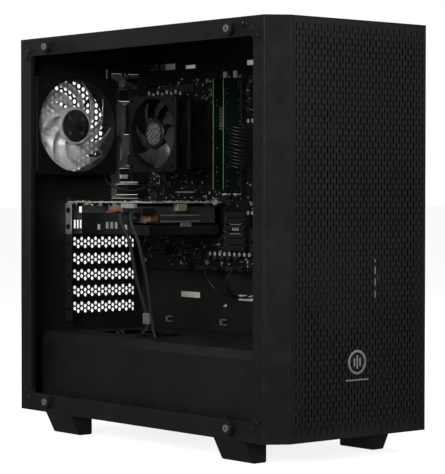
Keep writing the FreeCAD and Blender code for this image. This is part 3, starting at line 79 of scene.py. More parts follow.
class Nodes:
    """A short way to write a material's nodes and the links between them."""

    def __init__(self, name):
        self.material = bpy.data.materials.new(name)
        self.material.use_nodes = True
        self.tree = self.material.node_tree
        self.shader = self.tree.nodes["Principled BSDF"]
        self.spot = self.add("ShaderNodeTexCoord").outputs["Object"]
        MATERIALS[name] = self.material

    def add(self, kind, **settings):
        node = self.tree.nodes.new(kind)
        for key, value in settings.items():
            setattr(node, key, value)
        return node

    def link(self, source, target):
        self.tree.links.new(source, target)

    def noise(self, scale, detail=3.0, rough=0.55, stretch=None):
        node = self.add("ShaderNodeTexNoise")
        node.inputs["Scale"].default_value = scale
        node.inputs["Detail"].default_value = detail
        node.inputs["Roughness"].default_value = rough
        self.link(self.stretched(stretch) if stretch else self.spot, node.inputs["Vector"])
        return node.outputs["Fac"]

    def stretched(self, factors):
        node = self.add("ShaderNodeMapping")
        node.inputs["Scale"].default_value = factors
        self.link(self.spot, node.inputs["Vector"])
        return node.outputs["Vector"]

    def spread(self, value, low_out, high_out, low_in=0.3, high_in=0.7):
        node = self.add("ShaderNodeMapRange")
        ends = (("From Min", low_in), ("From Max", high_in), ("To Min", low_out), ("To Max", high_out))
        for key, number in ends:
            node.inputs[key].default_value = number
        self.link(value, node.inputs["Value"])
        return node.outputs["Result"]

    def mix(self, share, first, second):
        """A colour between two, each a colour or a socket."""
        node = self.add("ShaderNodeMix", data_type="RGBA")
        self.link(share, node.inputs["Factor"])
        for socket, value in ((node.inputs[6], first), (node.inputs[7], second)):
            if isinstance(value, bpy.types.NodeSocket):
                self.link(value, socket)
            else:
                socket.default_value = (*value, 1.0)
        return node.outputs[2]

    def bump(self, height, distance, strength=1.0, normal=None):
        node = self.add("ShaderNodeBump")
        node.inputs["Distance"].default_value = distance
        node.inputs["Strength"].default_value = strength
        self.link(height, node.inputs["Height"])
        if normal is not None:
            self.link(normal, node.inputs["Normal"])
        return node.outputs["Normal"]

    def soft_edges(self, radius):
        node = self.add("ShaderNodeBevel", samples=4)
        node.inputs["Radius"].default_value = radius
        return node.outputs["Normal"]

    def rounded_edge_band(self, rounded):
        """High along edges, where the rounded normal leaves the flat one."""
        flat = self.add("ShaderNodeNewGeometry").outputs["Normal"]
        dot = self.add("ShaderNodeVectorMath", operation="DOT_PRODUCT")
        self.link(rounded, dot.inputs[0])
        self.link(flat, dot.inputs[1])
        return self.spread(dot.outputs["Value"], 1.0, 0.0, 0.8, 0.995)

    def position(self, axis):
        node = self.add("ShaderNodeSeparateXYZ")
        self.link(self.spot, node.inputs["Vector"])
        return node.outputs[axis]

    def above(self, value, threshold):
        node = self.add("ShaderNodeMath", operation="GREATER_THAN")
        self.link(value, node.inputs[0])
        node.inputs[1].default_value = threshold
        return node.outputs["Value"]

    def colour(self, value):
        self.link(value, self.shader.inputs["Base Color"])

    def gloss(self, value):
        self.link(value, self.shader.inputs["Roughness"])

    def relief(self, value):
        self.link(value, self.shader.inputs["Normal"])

    def set(self, **sockets):
        for key, value in sockets.items():
            self.shader.inputs[key.replace("_", " ")].default_value = value


def coated(name, tone, rough=0.42, grain=900.0, depth=0.00004, edge_sheen_and_wear=0.0, round_edge=0.0006, metal=0.0,
           vary=0.25, coat=0.0):
    """Paint or moulded plastic: fine grain, uneven gloss, rounded edges and a lighter colour along them, partly
    worn paint and partly a painted highlight.
    """
    make = Nodes(name)
    cloud = make.noise(14.0, 4.0)
    lighter = tuple(min(1.0, c * (1 + vary) + 0.001) for c in tone)
    darker = tuple(c * (1 - vary) for c in tone)
    base = make.mix(make.spread(cloud, 0, 1), darker, lighter)
    rounded = make.soft_edges(round_edge)
    if edge_sheen_and_wear:
        # Lighter grey along rounded edges: partly worn paint, partly a painted highlight where edges catch the
        # light.
        lighter_edges = make.add("ShaderNodeMath", operation="MULTIPLY")
        make.link(make.rounded_edge_band(rounded), lighter_edges.inputs[0])
        make.link(make.spread(make.noise(90.0, 5.0), 0.0, edge_sheen_and_wear), lighter_edges.inputs[1])
        base = make.mix(lighter_edges.outputs["Value"], base, (0.32, 0.32, 0.31))
    make.colour(base)
    make.gloss(make.spread(make.noise(55.0, 5.0), rough - 0.06, rough + 0.09))
    make.relief(make.bump(make.noise(grain, 2.0), depth, 0.6, rounded))
    make.set(Metallic=metal, Coat_Weight=coat, Coat_Roughness=0.2)
    return make.material


def metal(name, tone, rough=0.3, stretch=(40, 40, 900), depth=0.00003):
    """Brushed or plated metal with fine lines along the stretched axis."""
    make = Nodes(name)
    lines = make.noise(1.0, 3.0, 0.6, stretch)
    make.colour(make.mix(make.spread(lines, 0, 1), tuple(c * 0.78 for c in tone), tone))
    make.gloss(make.spread(make.noise(40.0, 4.0), rough - 0.08, rough + 0.14))
    make.relief(make.bump(lines, depth, 0.5, make.soft_edges(0.0003)))
    make.set(Metallic=0.6)
    return make.material


def two_sided(name, axis, threshold, outer, inner, rough=0.4):
    """Paint on one side of a plane and bare metal or a cut edge on the other."""
    make = Nodes(name)
    beyond = make.above(make.position(axis), threshold * MM)
    cloud = make.spread(make.noise(30.0, 4.0), 0.75, 1.15)
    tint = make.add("ShaderNodeVectorMath", operation="SCALE")
    make.link(make.mix(beyond, inner, outer), tint.inputs[0])
    make.link(cloud, tint.inputs["Scale"])
    make.colour(tint.outputs["Vector"])
    make.gloss(make.spread(make.noise(60.0, 4.0), rough - 0.05, rough + 0.1))
    make.relief(make.bump(make.noise(800.0, 2.0), 0.00004, 0.6, make.soft_edges(0.0005)))
    return make.material


def circuit(name, tone, trace, rough=0.38):
    """A printed board: solder mask with faint copper traces under it and a sprinkle of vias."""
    make = Nodes(name)
    grid = make.add("ShaderNodeTexBrick")
    grid.offset = 0.37
    grid.inputs["Scale"].default_value = 120.0
    grid.inputs["Mortar Size"].default_value = 0.04
    grid.inputs["Brick Width"].default_value = 1.7
    turned = make.add("ShaderNodeMapping")
    turned.inputs["Rotation"].default_value = (0.0, math.pi / 2, 0.0)
    make.link(make.spot, turned.inputs["Vector"])
    make.link(turned.outputs["Vector"], grid.inputs["Vector"])
    dots = make.add("ShaderNodeTexVoronoi")
    dots.inputs["Scale"].default_value = 260.0
    make.link(make.spot, dots.inputs["Vector"])
    lit = make.spread(dots.outputs["Distance"], 1.0, 0.0, 0.08, 0.16)
    lines = make.mix(grid.outputs["Fac"], tone, trace)
    make.colour(make.mix(lit, lines, tuple(min(1.0, c * 3 + 0.05) for c in trace)))
    make.gloss(make.spread(make.noise(50.0, 4.0), rough - 0.08, rough + 0.1))
    make.relief(make.bump(grid.outputs["Fac"], 0.00005, 0.5))
    return make.material


def sleeved(name, tone, rough=0.6):
    """Braided sleeve: crossed threads round the lead."""
    make = Nodes(name)
    weave = make.add("ShaderNodeTexWave", wave_type="BANDS", bands_direction="DIAGONAL")
    weave.inputs["Scale"].default_value = 320.0
    weave.inputs["Distortion"].default_value = 1.5
    make.link(make.spot, weave.inputs["Vector"])
    crossed = make.add("ShaderNodeTexChecker")
    crossed.inputs["Scale"].default_value = 900.0
    make.link(make.spot, crossed.inputs["Vector"])
    threads = make.add("ShaderNodeMath", operation="MAXIMUM")
    make.link(weave.outputs["Fac"], threads.inputs[0])
    make.link(crossed.outputs["Fac"], threads.inputs[1])
    make.colour(make.mix(threads.outputs["Value"], tuple(c * 0.35 for c in tone), tone))
    make.relief(make.bump(threads.outputs["Value"], 0.0002, 0.8))
    make.gloss(make.spread(make.noise(80.0), rough - 0.1, rough + 0.1))
    return make.material


def clear_blade(name):
    """Milky clear plastic."""
    make = Nodes(name)
    cloud = make.spread(make.noise(24.0, 3.0), 0, 1)
    make.colour(make.mix(cloud, (0.80, 0.83, 0.84), (0.96, 0.93, 0.88)))
    make.gloss(make.spread(make.noise(60.0, 3.0), 0.12, 0.26))
    make.relief(make.bump(make.noise(120.0, 2.0), 0.00004, 0.4))
    make.set(Alpha=0.66, Coat_Weight=0.5, Coat_Roughness=0.08)
    return make.material


def make_materials():
    coated("steel_black", (0.0125, 0.0122, 0.0115), 0.44, edge_sheen_and_wear=0.12)
    coated("bezel_black", (0.0150, 0.0148, 0.0135), 0.40, grain=1400.0, edge_sheen_and_wear=0.10, round_edge=0.0008)
    coated("grille_black", (0.0125, 0.0130, 0.0155), 0.46, grain=1500.0, round_edge=0.0003)
    # Painted shade: a darker black for the grille's slot walls, blind slot floors and the strips along its top
    # and left edges.
    coated("grille_painted_shade", (0.0045, 0.0047, 0.0055), 0.6)
    coated("plastic_black", (0.011, 0.011, 0.0115), 0.38)
    coated("fan_black", (0.012, 0.012, 0.0125), 0.33)
    coated("blade_grey", (0.040, 0.040, 0.041), 0.27, grain=500.0, coat=0.3)
    coated("rubber", (0.010, 0.010, 0.010), 0.7, grain=600.0, depth=0.0001)
    coated("socket_black", (0.014, 0.014, 0.015), 0.4)
    coated("shroud_gloss", (0.012, 0.012, 0.013), 0.25, coat=0.4)
    coated("heatsink_black", (0.016, 0.016, 0.018), 0.42, grain=1600.0, edge_sheen_and_wear=0.5, round_edge=0.0004)
    coated("chip_black", (0.012, 0.012, 0.013), 0.5)
    coated("latch_white", (0.72, 0.72, 0.69), 0.35)
    coated("label_white", (0.50, 0.50, 0.50), 0.6)
    # White print and outlines, also used for the painted highlights beside the rear ports.
    coated("print_white", (0.62, 0.62, 0.60), 0.5)
    coated("port_dark", (0.035, 0.035, 0.036), 0.35, metal=0.7)
    coated("parts_mixed", (0.06, 0.06, 0.062), 0.35, metal=0.6, edge_sheen_and_wear=0.8)
    coated("chip_tan", (0.34, 0.28, 0.19), 0.5)
    coated("solder_bright", (0.72, 0.73, 0.72), 0.3, metal=0.2)
    coated("can_top_blue", (0.50, 0.66, 0.80), 0.3, metal=0.2)
    coated("frame_dark", (0.004, 0.004, 0.0042), 0.5)
    coated("fin_grey", (0.075, 0.075, 0.08), 0.35, metal=0.3)
    # Cream for the card's cut edges, and for the painted light strip on its bracket.
    coated("cream_edge_and_painted_slit_light", (0.66, 0.64, 0.56), 0.5)
    coated("mark_silver", (0.46, 0.46, 0.46), 0.32, grain=1800.0)
    coated("connector_grey", (0.23, 0.235, 0.22), 0.5)
    coated("ceramic_tan", (0.40, 0.34, 0.24), 0.55)
    coated("steel_light", (0.16, 0.17, 0.16), 0.5)
    coated("hub_dark", (0.020, 0.024, 0.028), 0.25)
    coated("lamp_red", (0.36, 0.035, 0.035), 0.3)
    coated("wire_black", (0.012, 0.012, 0.012), 0.36, grain=700.0)
    coated("filter_mesh", (0.010, 0.010, 0.010), 0.6, grain=1200.0, depth=0.0003)
    coated("drive_cast", (0.30, 0.30, 0.31), 0.42, metal=0.7)
    metal("screw_steel", (0.52, 0.52, 0.52), 0.28)
    coated("screw_black", (0.03, 0.03, 0.03), 0.28, metal=0.7, edge_sheen_and_wear=0.6)
    metal("aluminium", (0.62, 0.62, 0.63), 0.34)
    metal("fin_dark", (0.16, 0.16, 0.17), 0.38)
    metal("copper", (0.80, 0.33, 0.16), 0.26)
    metal("brass", (0.66, 0.50, 0.26), 0.3)
    metal("gold", (0.80, 0.60, 0.26), 0.28)
    metal("port_metal", (0.62, 0.62, 0.62), 0.3)
    two_sided("panel_bare_inside", X, 115.9, (0.0125, 0.0122, 0.0115), (0.40, 0.43, 0.36))
    two_sided("card_edge", X, low("gpu_board", X) + 0.3, (0.012, 0.013, 0.013), (0.62, 0.60, 0.54))
    two_sided("module_edge", X, low("ram_modules", X) + 0.25, (0.0022, 0.024, 0.0115), (0.26, 0.32, 0.22), 0.32)
    circuit("board_black", (0.0045, 0.005, 0.0055), (0.012, 0.012, 0.012))
    sleeved("sleeve_black", (0.05, 0.05, 0.052))
    clear_blade("blade_clear")
    stripes_material()


def stripes_material():
    """Silver and black wavy stripes on the cooler fan's round sticker."""
    make = Nodes("sticker_stripes")
    wave = make.add("ShaderNodeTexWave", wave_type="BANDS", bands_direction="DIAGONAL")
    wave.inputs["Scale"].default_value = 105.0
    wave.inputs["Distortion"].default_value = 6.0
    wave.inputs["Detail Scale"].default_value = 2.0
    make.link(make.spot, wave.inputs["Vector"])
    stripe = make.spread(wave.outputs["Fac"], 0, 1, 0.42, 0.58)
    make.colour(make.mix(stripe, (0.02, 0.02, 0.02), (0.26, 0.27, 0.28)))
    make.gloss(make.spread(make.noise(60.0), 0.25, 0.45))
    make.relief(make.bump(wave.outputs["Fac"], 0.00005, 0.4))


NODE_FINISH = {
    "steel_black": ("bottom_pan", "top_panel", "rear_panel", "window_frame", "front_wall", "motherboard_tray",
                    "psu_shroud", "corner_plates", "slot_covers", "psu_case", "drive_cage"),
    "plastic_black": ("feet", "power_button", "reset_button", "power_rocker", "bezel_clips"),
    "bezel_black": ("front_bezel",),
    "fan_black": ("front_fan_frame", "front_fan_rotor", "psu_fan_rotor"),
    "frame_dark": ("cpu_fan_frame", "rear_fan_frame"),
    "fin_grey": ("cpu_cooler",),
    "blade_grey": ("gpu_fan_rear", "gpu_fan_front"),
    "rubber": ("glass_grommets",),
    "screw_steel": ("glass_posts",),
    "screw_black": ("case_screws", "panel_thumbscrews", "psu_grille"),
    "socket_black": ("ram_sockets", "board_sockets", "power_inlet", "cable_plugs"),
    "shroud_gloss": ("gpu_shroud",),
    "heatsink_black": ("chipset_heatsink",),
    "latch_white": ("ram_latch_outer", "ram_latch_inner"),
    "filter_mesh": ("top_filter", "psu_filter"),
    "drive_cast": ("hard_drive",),
    "fin_dark": ("gpu_heatsink",),
    "copper": ("gpu_heatpipes",),
    "brass": ("board_standoffs",),
    "port_metal": ("io_shield", "gpu_bracket", "usb_ports"),
    "port_dark": ("io_ports",),
    "parts_mixed": ("board_parts",),
    "panel_bare_inside": ("right_panel",),
    "card_edge": ("gpu_board",),
    "board_black": ("motherboard",),
}


def dress_nodes():
    for name, members in NODE_FINISH.items():
        for node in members:
            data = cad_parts[node].data
            data.materials.clear()
            data.materials.append(MATERIALS[name])


# ---------------- mesh making

class Maker:
    """Collects solids in one mesh, in millimetres, each with its own material."""

    def __init__(self, *materials):
        self.bm = bmesh.new()
        self.names = list(materials)

    def loft(self, rings, material, closed_ends=True):
        """Faces between rings of equal length, with caps on the first and the last."""
        index = self.names.index(material)
        rows = [[self.bm.verts.new(p) for p in ring] for ring in rings]
        count = len(rows[0])
        for first, second in zip(rows, rows[1:]):
            for at in range(count):
                step = (at + 1) % count
                made = self.bm.faces.new((first[at], first[step], second[step], second[at]))
                made.material_index = index
        if closed_ends:
            self.bm.faces.new(rows[0][::-1]).material_index = index
            self.bm.faces.new(rows[-1]).material_index = index

    def box(self, lo, hi, material, edge=0.0):
        """A block with its edges cut back where edge is given."""
        (x0, y0, z0), (x1, y1, z1) = lo, hi
        if not edge:
            self.loft([[(x0, y0, z), (x1, y0, z), (x1, y1, z), (x0, y1, z)] for z in (z0, z1)], material)
            return
        rings = []
        for z, inset in ((z0, edge), (z0 + edge, 0), (z1 - edge, 0), (z1, edge)):
            a, b, c, d = x0 + inset, x1 - inset, y0 + inset, y1 - inset
            rings.append([(a + edge, c, z), (b - edge, c, z), (b, c + edge, z), (b, d - edge, z),
                          (b - edge, d, z), (a + edge, d, z), (a, d - edge, z), (a, c + edge, z)])
        self.loft(rings, material)

    def rod(self, base, axis, profile, material, sides=24):
        """Turned shape: profile is (distance along the axis, radius) pairs from the base point."""
        rings = []
        for along, radius in profile:
            ring = []
            for side in range(sides):
                turn = 2 * math.pi * side / sides
                across = [radius * math.cos(turn), radius * math.sin(turn)]
                ring.append(spun(base, axis, along, *across))
            rings.append(ring)
        self.loft(rings, material)

    def done(self, name, body, smooth=True):
        bmesh.ops.recalc_face_normals(self.bm, faces=self.bm.faces)
        data = bpy.data.meshes.new(name)
        for vert in self.bm.verts:
            vert.co *= MM
        self.bm.to_mesh(data)
        self.bm.free()
        piece = new_object(name, data)
        for material in self.names:
            data.materials.append(MATERIALS[material])
        if smooth:
            soften(piece)
        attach(piece, body)
        return piece


def spun(base, axis, along, first, second):
    """A point at that distance along an axis and across it."""
    offset = {X: (along, first, second), Y: (second, along, first), Z: (first, second, along)}[axis]
    return tuple(b + o for b, o in zip(base, offset))


def soften(piece, angle=35):
    """Smooth shading except over sharp edges."""
    data = piece.data
    for polygon in data.polygons:
        polygon.use_smooth = True
    work = bmesh.new()
    work.from_mesh(data)
    for edge in work.edges:
        edge.smooth = len(edge.link_faces) == 2 and edge.calc_face_angle(0.0) < math.radians(angle)
    work.to_mesh(data)
    work.free()


# ---------------- front grille and badge

SLOT_PITCH = (4.5, 13.0)
SLOT_HALF = (1.15, 4.6)
BLIND_MARGIN = (18.0, 24.0)
BLIND_DEPTH = 1.05


def slot_outline(x, z, y):
    """Upright slot with rounded ends, from its lower right corner anticlockwise."""
    w, tall = SLOT_HALF
    flank, shoulder = tall - w, tall - 0.3 * w
    half = [(w, -flank), (w, flank), (0.7 * w, shoulder), (0, tall), (-0.7 * w, shoulder)]
    return [(x + a, y, z + b) for a, b in half] + [(x - a, y, z - b) for a, b in half]


def grille_cell(make, bounds, centre, faces_y, blind):
    """One cell of the grille: front and back skins round a slot, its walls, and a floor if it is blind."""
    x0, x1, z0, z1 = bounds
    front, back = faces_y
    depth = front + BLIND_DEPTH if blind else back
    rings = {y: [make.bm.verts.new(p) for p in slot_outline(*centre, y)] for y in (front, depth)}
    skins = [front] if blind else [front, back]
    for y in skins:
        a, b, c, d = (make.bm.verts.new(p) for p in ((x0, y, z0), (x1, y, z0), (x1, y, z1), (x0, y, z1)))
        ring = rings[y]
        make.bm.faces.new((b, c, ring[1], ring[0]))
        make.bm.faces.new((c, d, ring[5], ring[4], ring[3], ring[2], ring[1]))
        make.bm.faces.new((d, a, ring[6], ring[5]))
        make.bm.faces.new((a, b, ring[0], ring[9], ring[8], ring[7], ring[6]))
    first, second = rings[front], rings[depth]
    # Painted shade: the slot walls and the floor of a blind slot take this darker second material.
    for at in range(10):
        step = (at + 1) % 10
        wall = make.bm.faces.new((first[at], first[step], second[step], second[at]))
        wall.material_index = 1
    if blind:
        make.bm.faces.new(second).material_index = 1
        corners = ((x0, back, z0), (x0, back, z1), (x1, back, z1), (x1, back, z0))
        make.bm.faces.new([make.bm.verts.new(p) for p in corners])


def make_grille():
    """The front skin with its fine staggered slots, blind along the margins."""
    make = Maker("grille_black", "grille_painted_shade")
    x0, x1, z0, z1 = low("front_mesh", X), high("front_mesh", X), low("front_mesh", Z), high("front_mesh", Z)
    faces_y = low("front_mesh", Y), high("front_mesh", Y)
    rim = 1.6
    columns = int((x1 - x0 - 2 * rim) / SLOT_PITCH[0])
    rows = int((z1 - z0 - 2 * rim) / SLOT_PITCH[1])
    side = (x1 - x0 - columns * SLOT_PITCH[0]) / 2
    end = (z1 - z0 - rows * SLOT_PITCH[1]) / 2
    for column in range(columns):
        left = x0 + side + column * SLOT_PITCH[0]
        right = left + SLOT_PITCH[0]
        lift = SLOT_PITCH[1] / 2 if column % 2 else 0
        count = rows - 1 if column % 2 else rows
        for row in range(count):
            bottom = z0 + end + lift + row * SLOT_PITCH[1]
            centre = ((left + right) / 2, bottom + SLOT_PITCH[1] / 2)
            near_side = min(centre[0] - x0, x1 - centre[0]) < BLIND_MARGIN[0]
            near_end = min(centre[1] - z0, z1 - centre[1]) < BLIND_MARGIN[1]
            cell_low = z0 if row == 0 else bottom
            cell_high = z1 if row == count - 1 else bottom + SLOT_PITCH[1]
            grille_cell(make, (left, right, cell_low, cell_high), centre, faces_y, near_side or near_end)
    for a, b in ((x0, x0 + side), (x1 - side, x1)):
        make.box((a, faces_y[0], z0), (b, faces_y[1], z1), "grille_black")
    # Painted shadow: dark strips along the grille's top and left edges, where the bezel's lip shades it.
    shadow_front = faces_y[0] - 0.04
    make.box((x0, shadow_front, z1 - 1.2), (x1, faces_y[0], z1), "grille_painted_shade")
    make.box((x0, shadow_front, z0), (x0 + 0.9, faces_y[0], z1), "grille_painted_shade")
    bmesh.ops.remove_doubles(make.bm, verts=make.bm.verts, dist=0.01)
    piece = make.done("front_grille", "front_bezel_body", smooth=False)
    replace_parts(piece, "front_mesh")


def ring_points(centre, radius, y, sides=48):
    return [(centre[0] + radius * math.cos(2 * math.pi * k / sides), y,
             centre[1] + radius * math.sin(2 * math.pi * k / sides)) for k in range(sides)]


def make_badge():
    """A plain emblem: a ring with three bars in it and a thin line under it."""
    make = Maker("mark_silver")
    face = low("front_mesh", Y)
    proud = face - 0.05
    root = face + 0.5
    centre = (12.0, 106.6)
    outer, inner = 13.4, 10.6
    rings = [ring_points(centre, radius, y) for radius, y in
             ((outer, root), (outer, face + 0.05), (outer - 0.15, proud), (inner + 0.15, proud), (inner, root))]
    make.loft(rings, "mark_silver", closed_ends=False)
    for across, tall in ((-4.2, 4.6), (0.0, 7.4), (4.2, 4.6)):
        x = centre[0] + across
        make.box((x - 1.25, proud, centre[1] - tall), (x + 1.25, root, centre[1] + tall), "mark_silver", 0.12)
    left, right = centre[0] - 17, centre[0] + 17
    make.box((left, proud, centre[1] - 20.2), (right, root, centre[1] - 18.4), "mark_silver", 0.12)
    make.done("front_badge", "front_bezel_body")


# ---------------- fans

def blade(make, hub, axis, facing, start, material, shape):
    """One swept blade. shape is its root and tip radius, width and sweep as turns, two depths, thickness."""
    root, tip, width, sweep, low_side, high_side, thick = shape
    steps, across = 12, 6
    surface = []
    for step in range(steps + 1):
        share = step / steps
        radius = root + (tip - root) * share
        lead = start + sweep * share ** 1.25
        chord = width * (1.0 - 0.32 * share * share)
        row = []
        for part in range(across + 1):
            along = part / across
            turn = lead + chord * (along - 0.5)
            lift = low_side + (high_side - low_side) * (along + 0.12 * math.sin(math.pi * along))
            row.append((lift, radius, turn))
        surface.append(row)
    index = make.names.index(material)
    sheets = []
    for side in (0, 1):
        sheet = []
        for row in surface:
            sheet.append([make.bm.verts.new(spun(hub, axis, facing * (lift + side * thick),
                                                 radius * math.cos(turn), radius * math.sin(turn)))
                          for lift, radius, turn in row])
        sheets.append(sheet)
    for sheet in sheets:
        for one, two in zip(sheet, sheet[1:]):
            for part in range(across):
                make.bm.faces.new((one[part], one[part + 1], two[part + 1], two[part])).material_index = index
    border = [(0, p) for p in range(across)] + [(s, across) for s in range(steps)]
    border += [(steps, p) for p in range(across, 0, -1)] + [(s, 0) for s in range(steps, 0, -1)]
    for (s1, p1), (s2, p2) in zip(border, border[1:] + border[:1]):
        corners = (sheets[0][s1][p1], sheets[0][s2][p2], sheets[1][s2][p2], sheets[1][s1][p1])
        make.bm.faces.new(corners).material_index = index


def make_rear_fan():
    """Clear swept blades round a clear hub ring with a dark cap and four red lamps."""
    node = "rear_fan_rotor"
    make = Maker("blade_clear", "hub_dark", "lamp_red")
    hub = (middle(node, X), low(node, Y), middle(node, Z))
    depth = high(node, Y) - low(node, Y)
    tip = (high(node, X) - low(node, X)) / 2 - 0.3
    ring = [(1.2, 20.6), (1.2, 22.4), (2.4, 23.4), (depth - 2, 23.4), (depth - 2, 22.0)]
    make.rod(hub, Y, ring, "blade_clear", 48)
    make.rod(hub, Y, [(0.3, 15.6), (0.3, 18.6), (1.4, 20.4), (depth - 4, 20.4)], "hub_dark", 48)
    make.rod(hub, Y, [(0.2, 9.0), (0.05, 8.6)], "hub_dark", 32)
    for lamp in range(4):
        turn = math.radians(45 + 90 * lamp)
        spot = (hub[0] + 13.0 * math.cos(turn), hub[1] + 0.3, hub[2] + 13.0 * math.sin(turn))
        make.rod(spot, Y, [(0.0, 2.2), (-0.2, 1.8), (-0.25, 0.4)], "lamp_red", 16)
    for number in range(9):
        start = 2 * math.pi * number / 9
        blade(make, hub, Y, 1, start, "blade_clear", (22.8, tip, 0.74, -0.95, 3.0, depth - 4.0, 1.4))
    piece = make.done("rear_fan_blades", "rear_fan_rotor_body")
    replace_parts(piece, node)


def make_cpu_fan():
    """Seven broad glossy blades and a hub with a round striped sticker."""
    node = "cpu_fan_rotor"
    make = Maker("blade_grey", "fan_black", "sticker_stripes")
    hub = (low(node, X), middle(node, Y), middle(node, Z))
    depth = high(node, X) - low(node, X)
    tip = (high(node, Y) - low(node, Y)) / 2 - 0.2
    make.rod(hub, X, [(0.5, 15.5), (0.5, 17.2), (1.8, 18.4), (depth - 2, 18.4)], "fan_black", 48)
    make.rod(hub, X, [(0.4, 13.4), (0.25, 13.2)], "sticker_stripes", 40)
    for number in range(7):
        start = 2 * math.pi * number / 7 + 0.2
        blade(make, hub, X, 1, start, "blade_grey", (18.0, tip, 1.12, 0.62, depth - 4.0, 3.0, 1.4))
    piece = make.done("cpu_fan_blades", "cpu_fan_rotor_body")
    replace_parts(piece, node)


# ---------------- memory

def make_memory():
    """Two memory modules: contacts, chips on the far side, small parts and a label on the near one."""
    node = "ram_modules"
    make = Maker("module_edge", "gold", "chip_black", "label_white", "chip_tan", "latch_white")
    x0, x1, z0, z1 = low(node, X), high(node, X), low(node, Z), high(node, Z)
    near, far = low(node, Y), high(node, Y)
    thick = 1.2
    pitch = far - near - 2.3
    pick = random.Random(5)
    for number in range(2):
        y = near + 0.55 + number * pitch
        notch = z0 + 0.54 * (z1 - z0)
        for bottom, top in ((z0, notch - 1), (notch + 1, z1)):
            make.box((x1 - 4.0, y, bottom), (x1, y + thick, top), "module_edge")
            for contact in range(int((top - bottom - 2) / 1.7)):
                z = bottom + 1.4 + 1.7 * contact
                make.box((x1 - 3.6, y - 0.05, z), (x1 - 0.4, y + thick + 0.05, z + 1.1), "gold")
        make.box((x0, y, z0), (x1 - 4.0, y + thick, z1), "module_edge")
        for chip in range(8):
            z = z0 + 6 + chip * 15.6
            make.box((x0 + 8, y + thick, z), (x0 + 19, y + thick + 1.0, z + 11), "chip_black", 0.15)
        for _ in range(46):
            z = pick.uniform(z0 + 3, z1 - 4)
            x = pick.choice((x0 + 22.5, x0 + 24.2, x0 + 5.0))
            kind = pick.choice(("chip_tan", "chip_black", "chip_tan"))
            make.box((x, y - 0.35, z), (x + 0.8, y, z + 1.6), kind)
    label_z = z0 + 0.54 * (z1 - z0)
    label_y = near + 0.55 + pitch
    make.box((x0 + 9.5, label_y - 0.15, label_z), (x0 + 17, label_y, label_z + 27), "label_white", 0.05)
    for line in range(7):
        z = label_z + 2.5 + 3.6 * line
        print_end = x0 + 16 - 1.5 * (line % 3)
        make.box((x0 + 10.3, label_y - 0.2, z), (print_end, label_y - 0.1, z + 0.9), "chip_black")
    for number in range(2):
        y = near + 0.55 + number * pitch
        make.box((x1 - 14, y - 2.2, z0 - 6.5), (x1 - 5, y + 3.4, z0 - 1.2), "latch_white", 0.6)
    piece = make.done("memory_modules", "chassis", smooth=False)
    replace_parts(piece, node)


# ---------------- motherboard

def board_point(depth, from_rear, from_top):
    """A point standing off the board's face, measured from its upper rear corner."""
    return (low("motherboard", X) - depth, high("motherboard", Y) - from_rear,
            high("motherboard", Z) - from_top)


def stand_block(make, from_rear, from_top, wide, tall, depth, material, edge=0.0):
    """A block on the board's face, with its centre given from the upper rear corner."""
    x, y, z = board_point(0, from_rear, from_top)
    make.box((x - depth, y - wide / 2, z - tall / 2), (x, y + wide / 2, z + tall / 2), material, edge)


def stand_can(make, from_rear, from_top, radius, tall, side, top):
    """Upright capacitor: sleeve, rolled rim and a bare top with a cross pressed in it."""
    base = board_point(0, from_rear, from_top)
    make.rod(base, X, [(0, radius * 1.05), (-0.8, radius * 1.05), (-1.0, radius), (-tall + 0.5, radius),
                       (-tall, radius - 0.4)], side, 20)
    make.rod(board_point(tall, from_rear, from_top), X, [(-0.02, radius - 0.6), (-0.1, radius - 0.8)], top, 20)
    for wide, upright in ((0.35, radius * 1.1), (radius * 1.1, 0.35)):
        stand_block(make, from_rear, from_top, wide, upright, tall + 0.14, "chip_black")


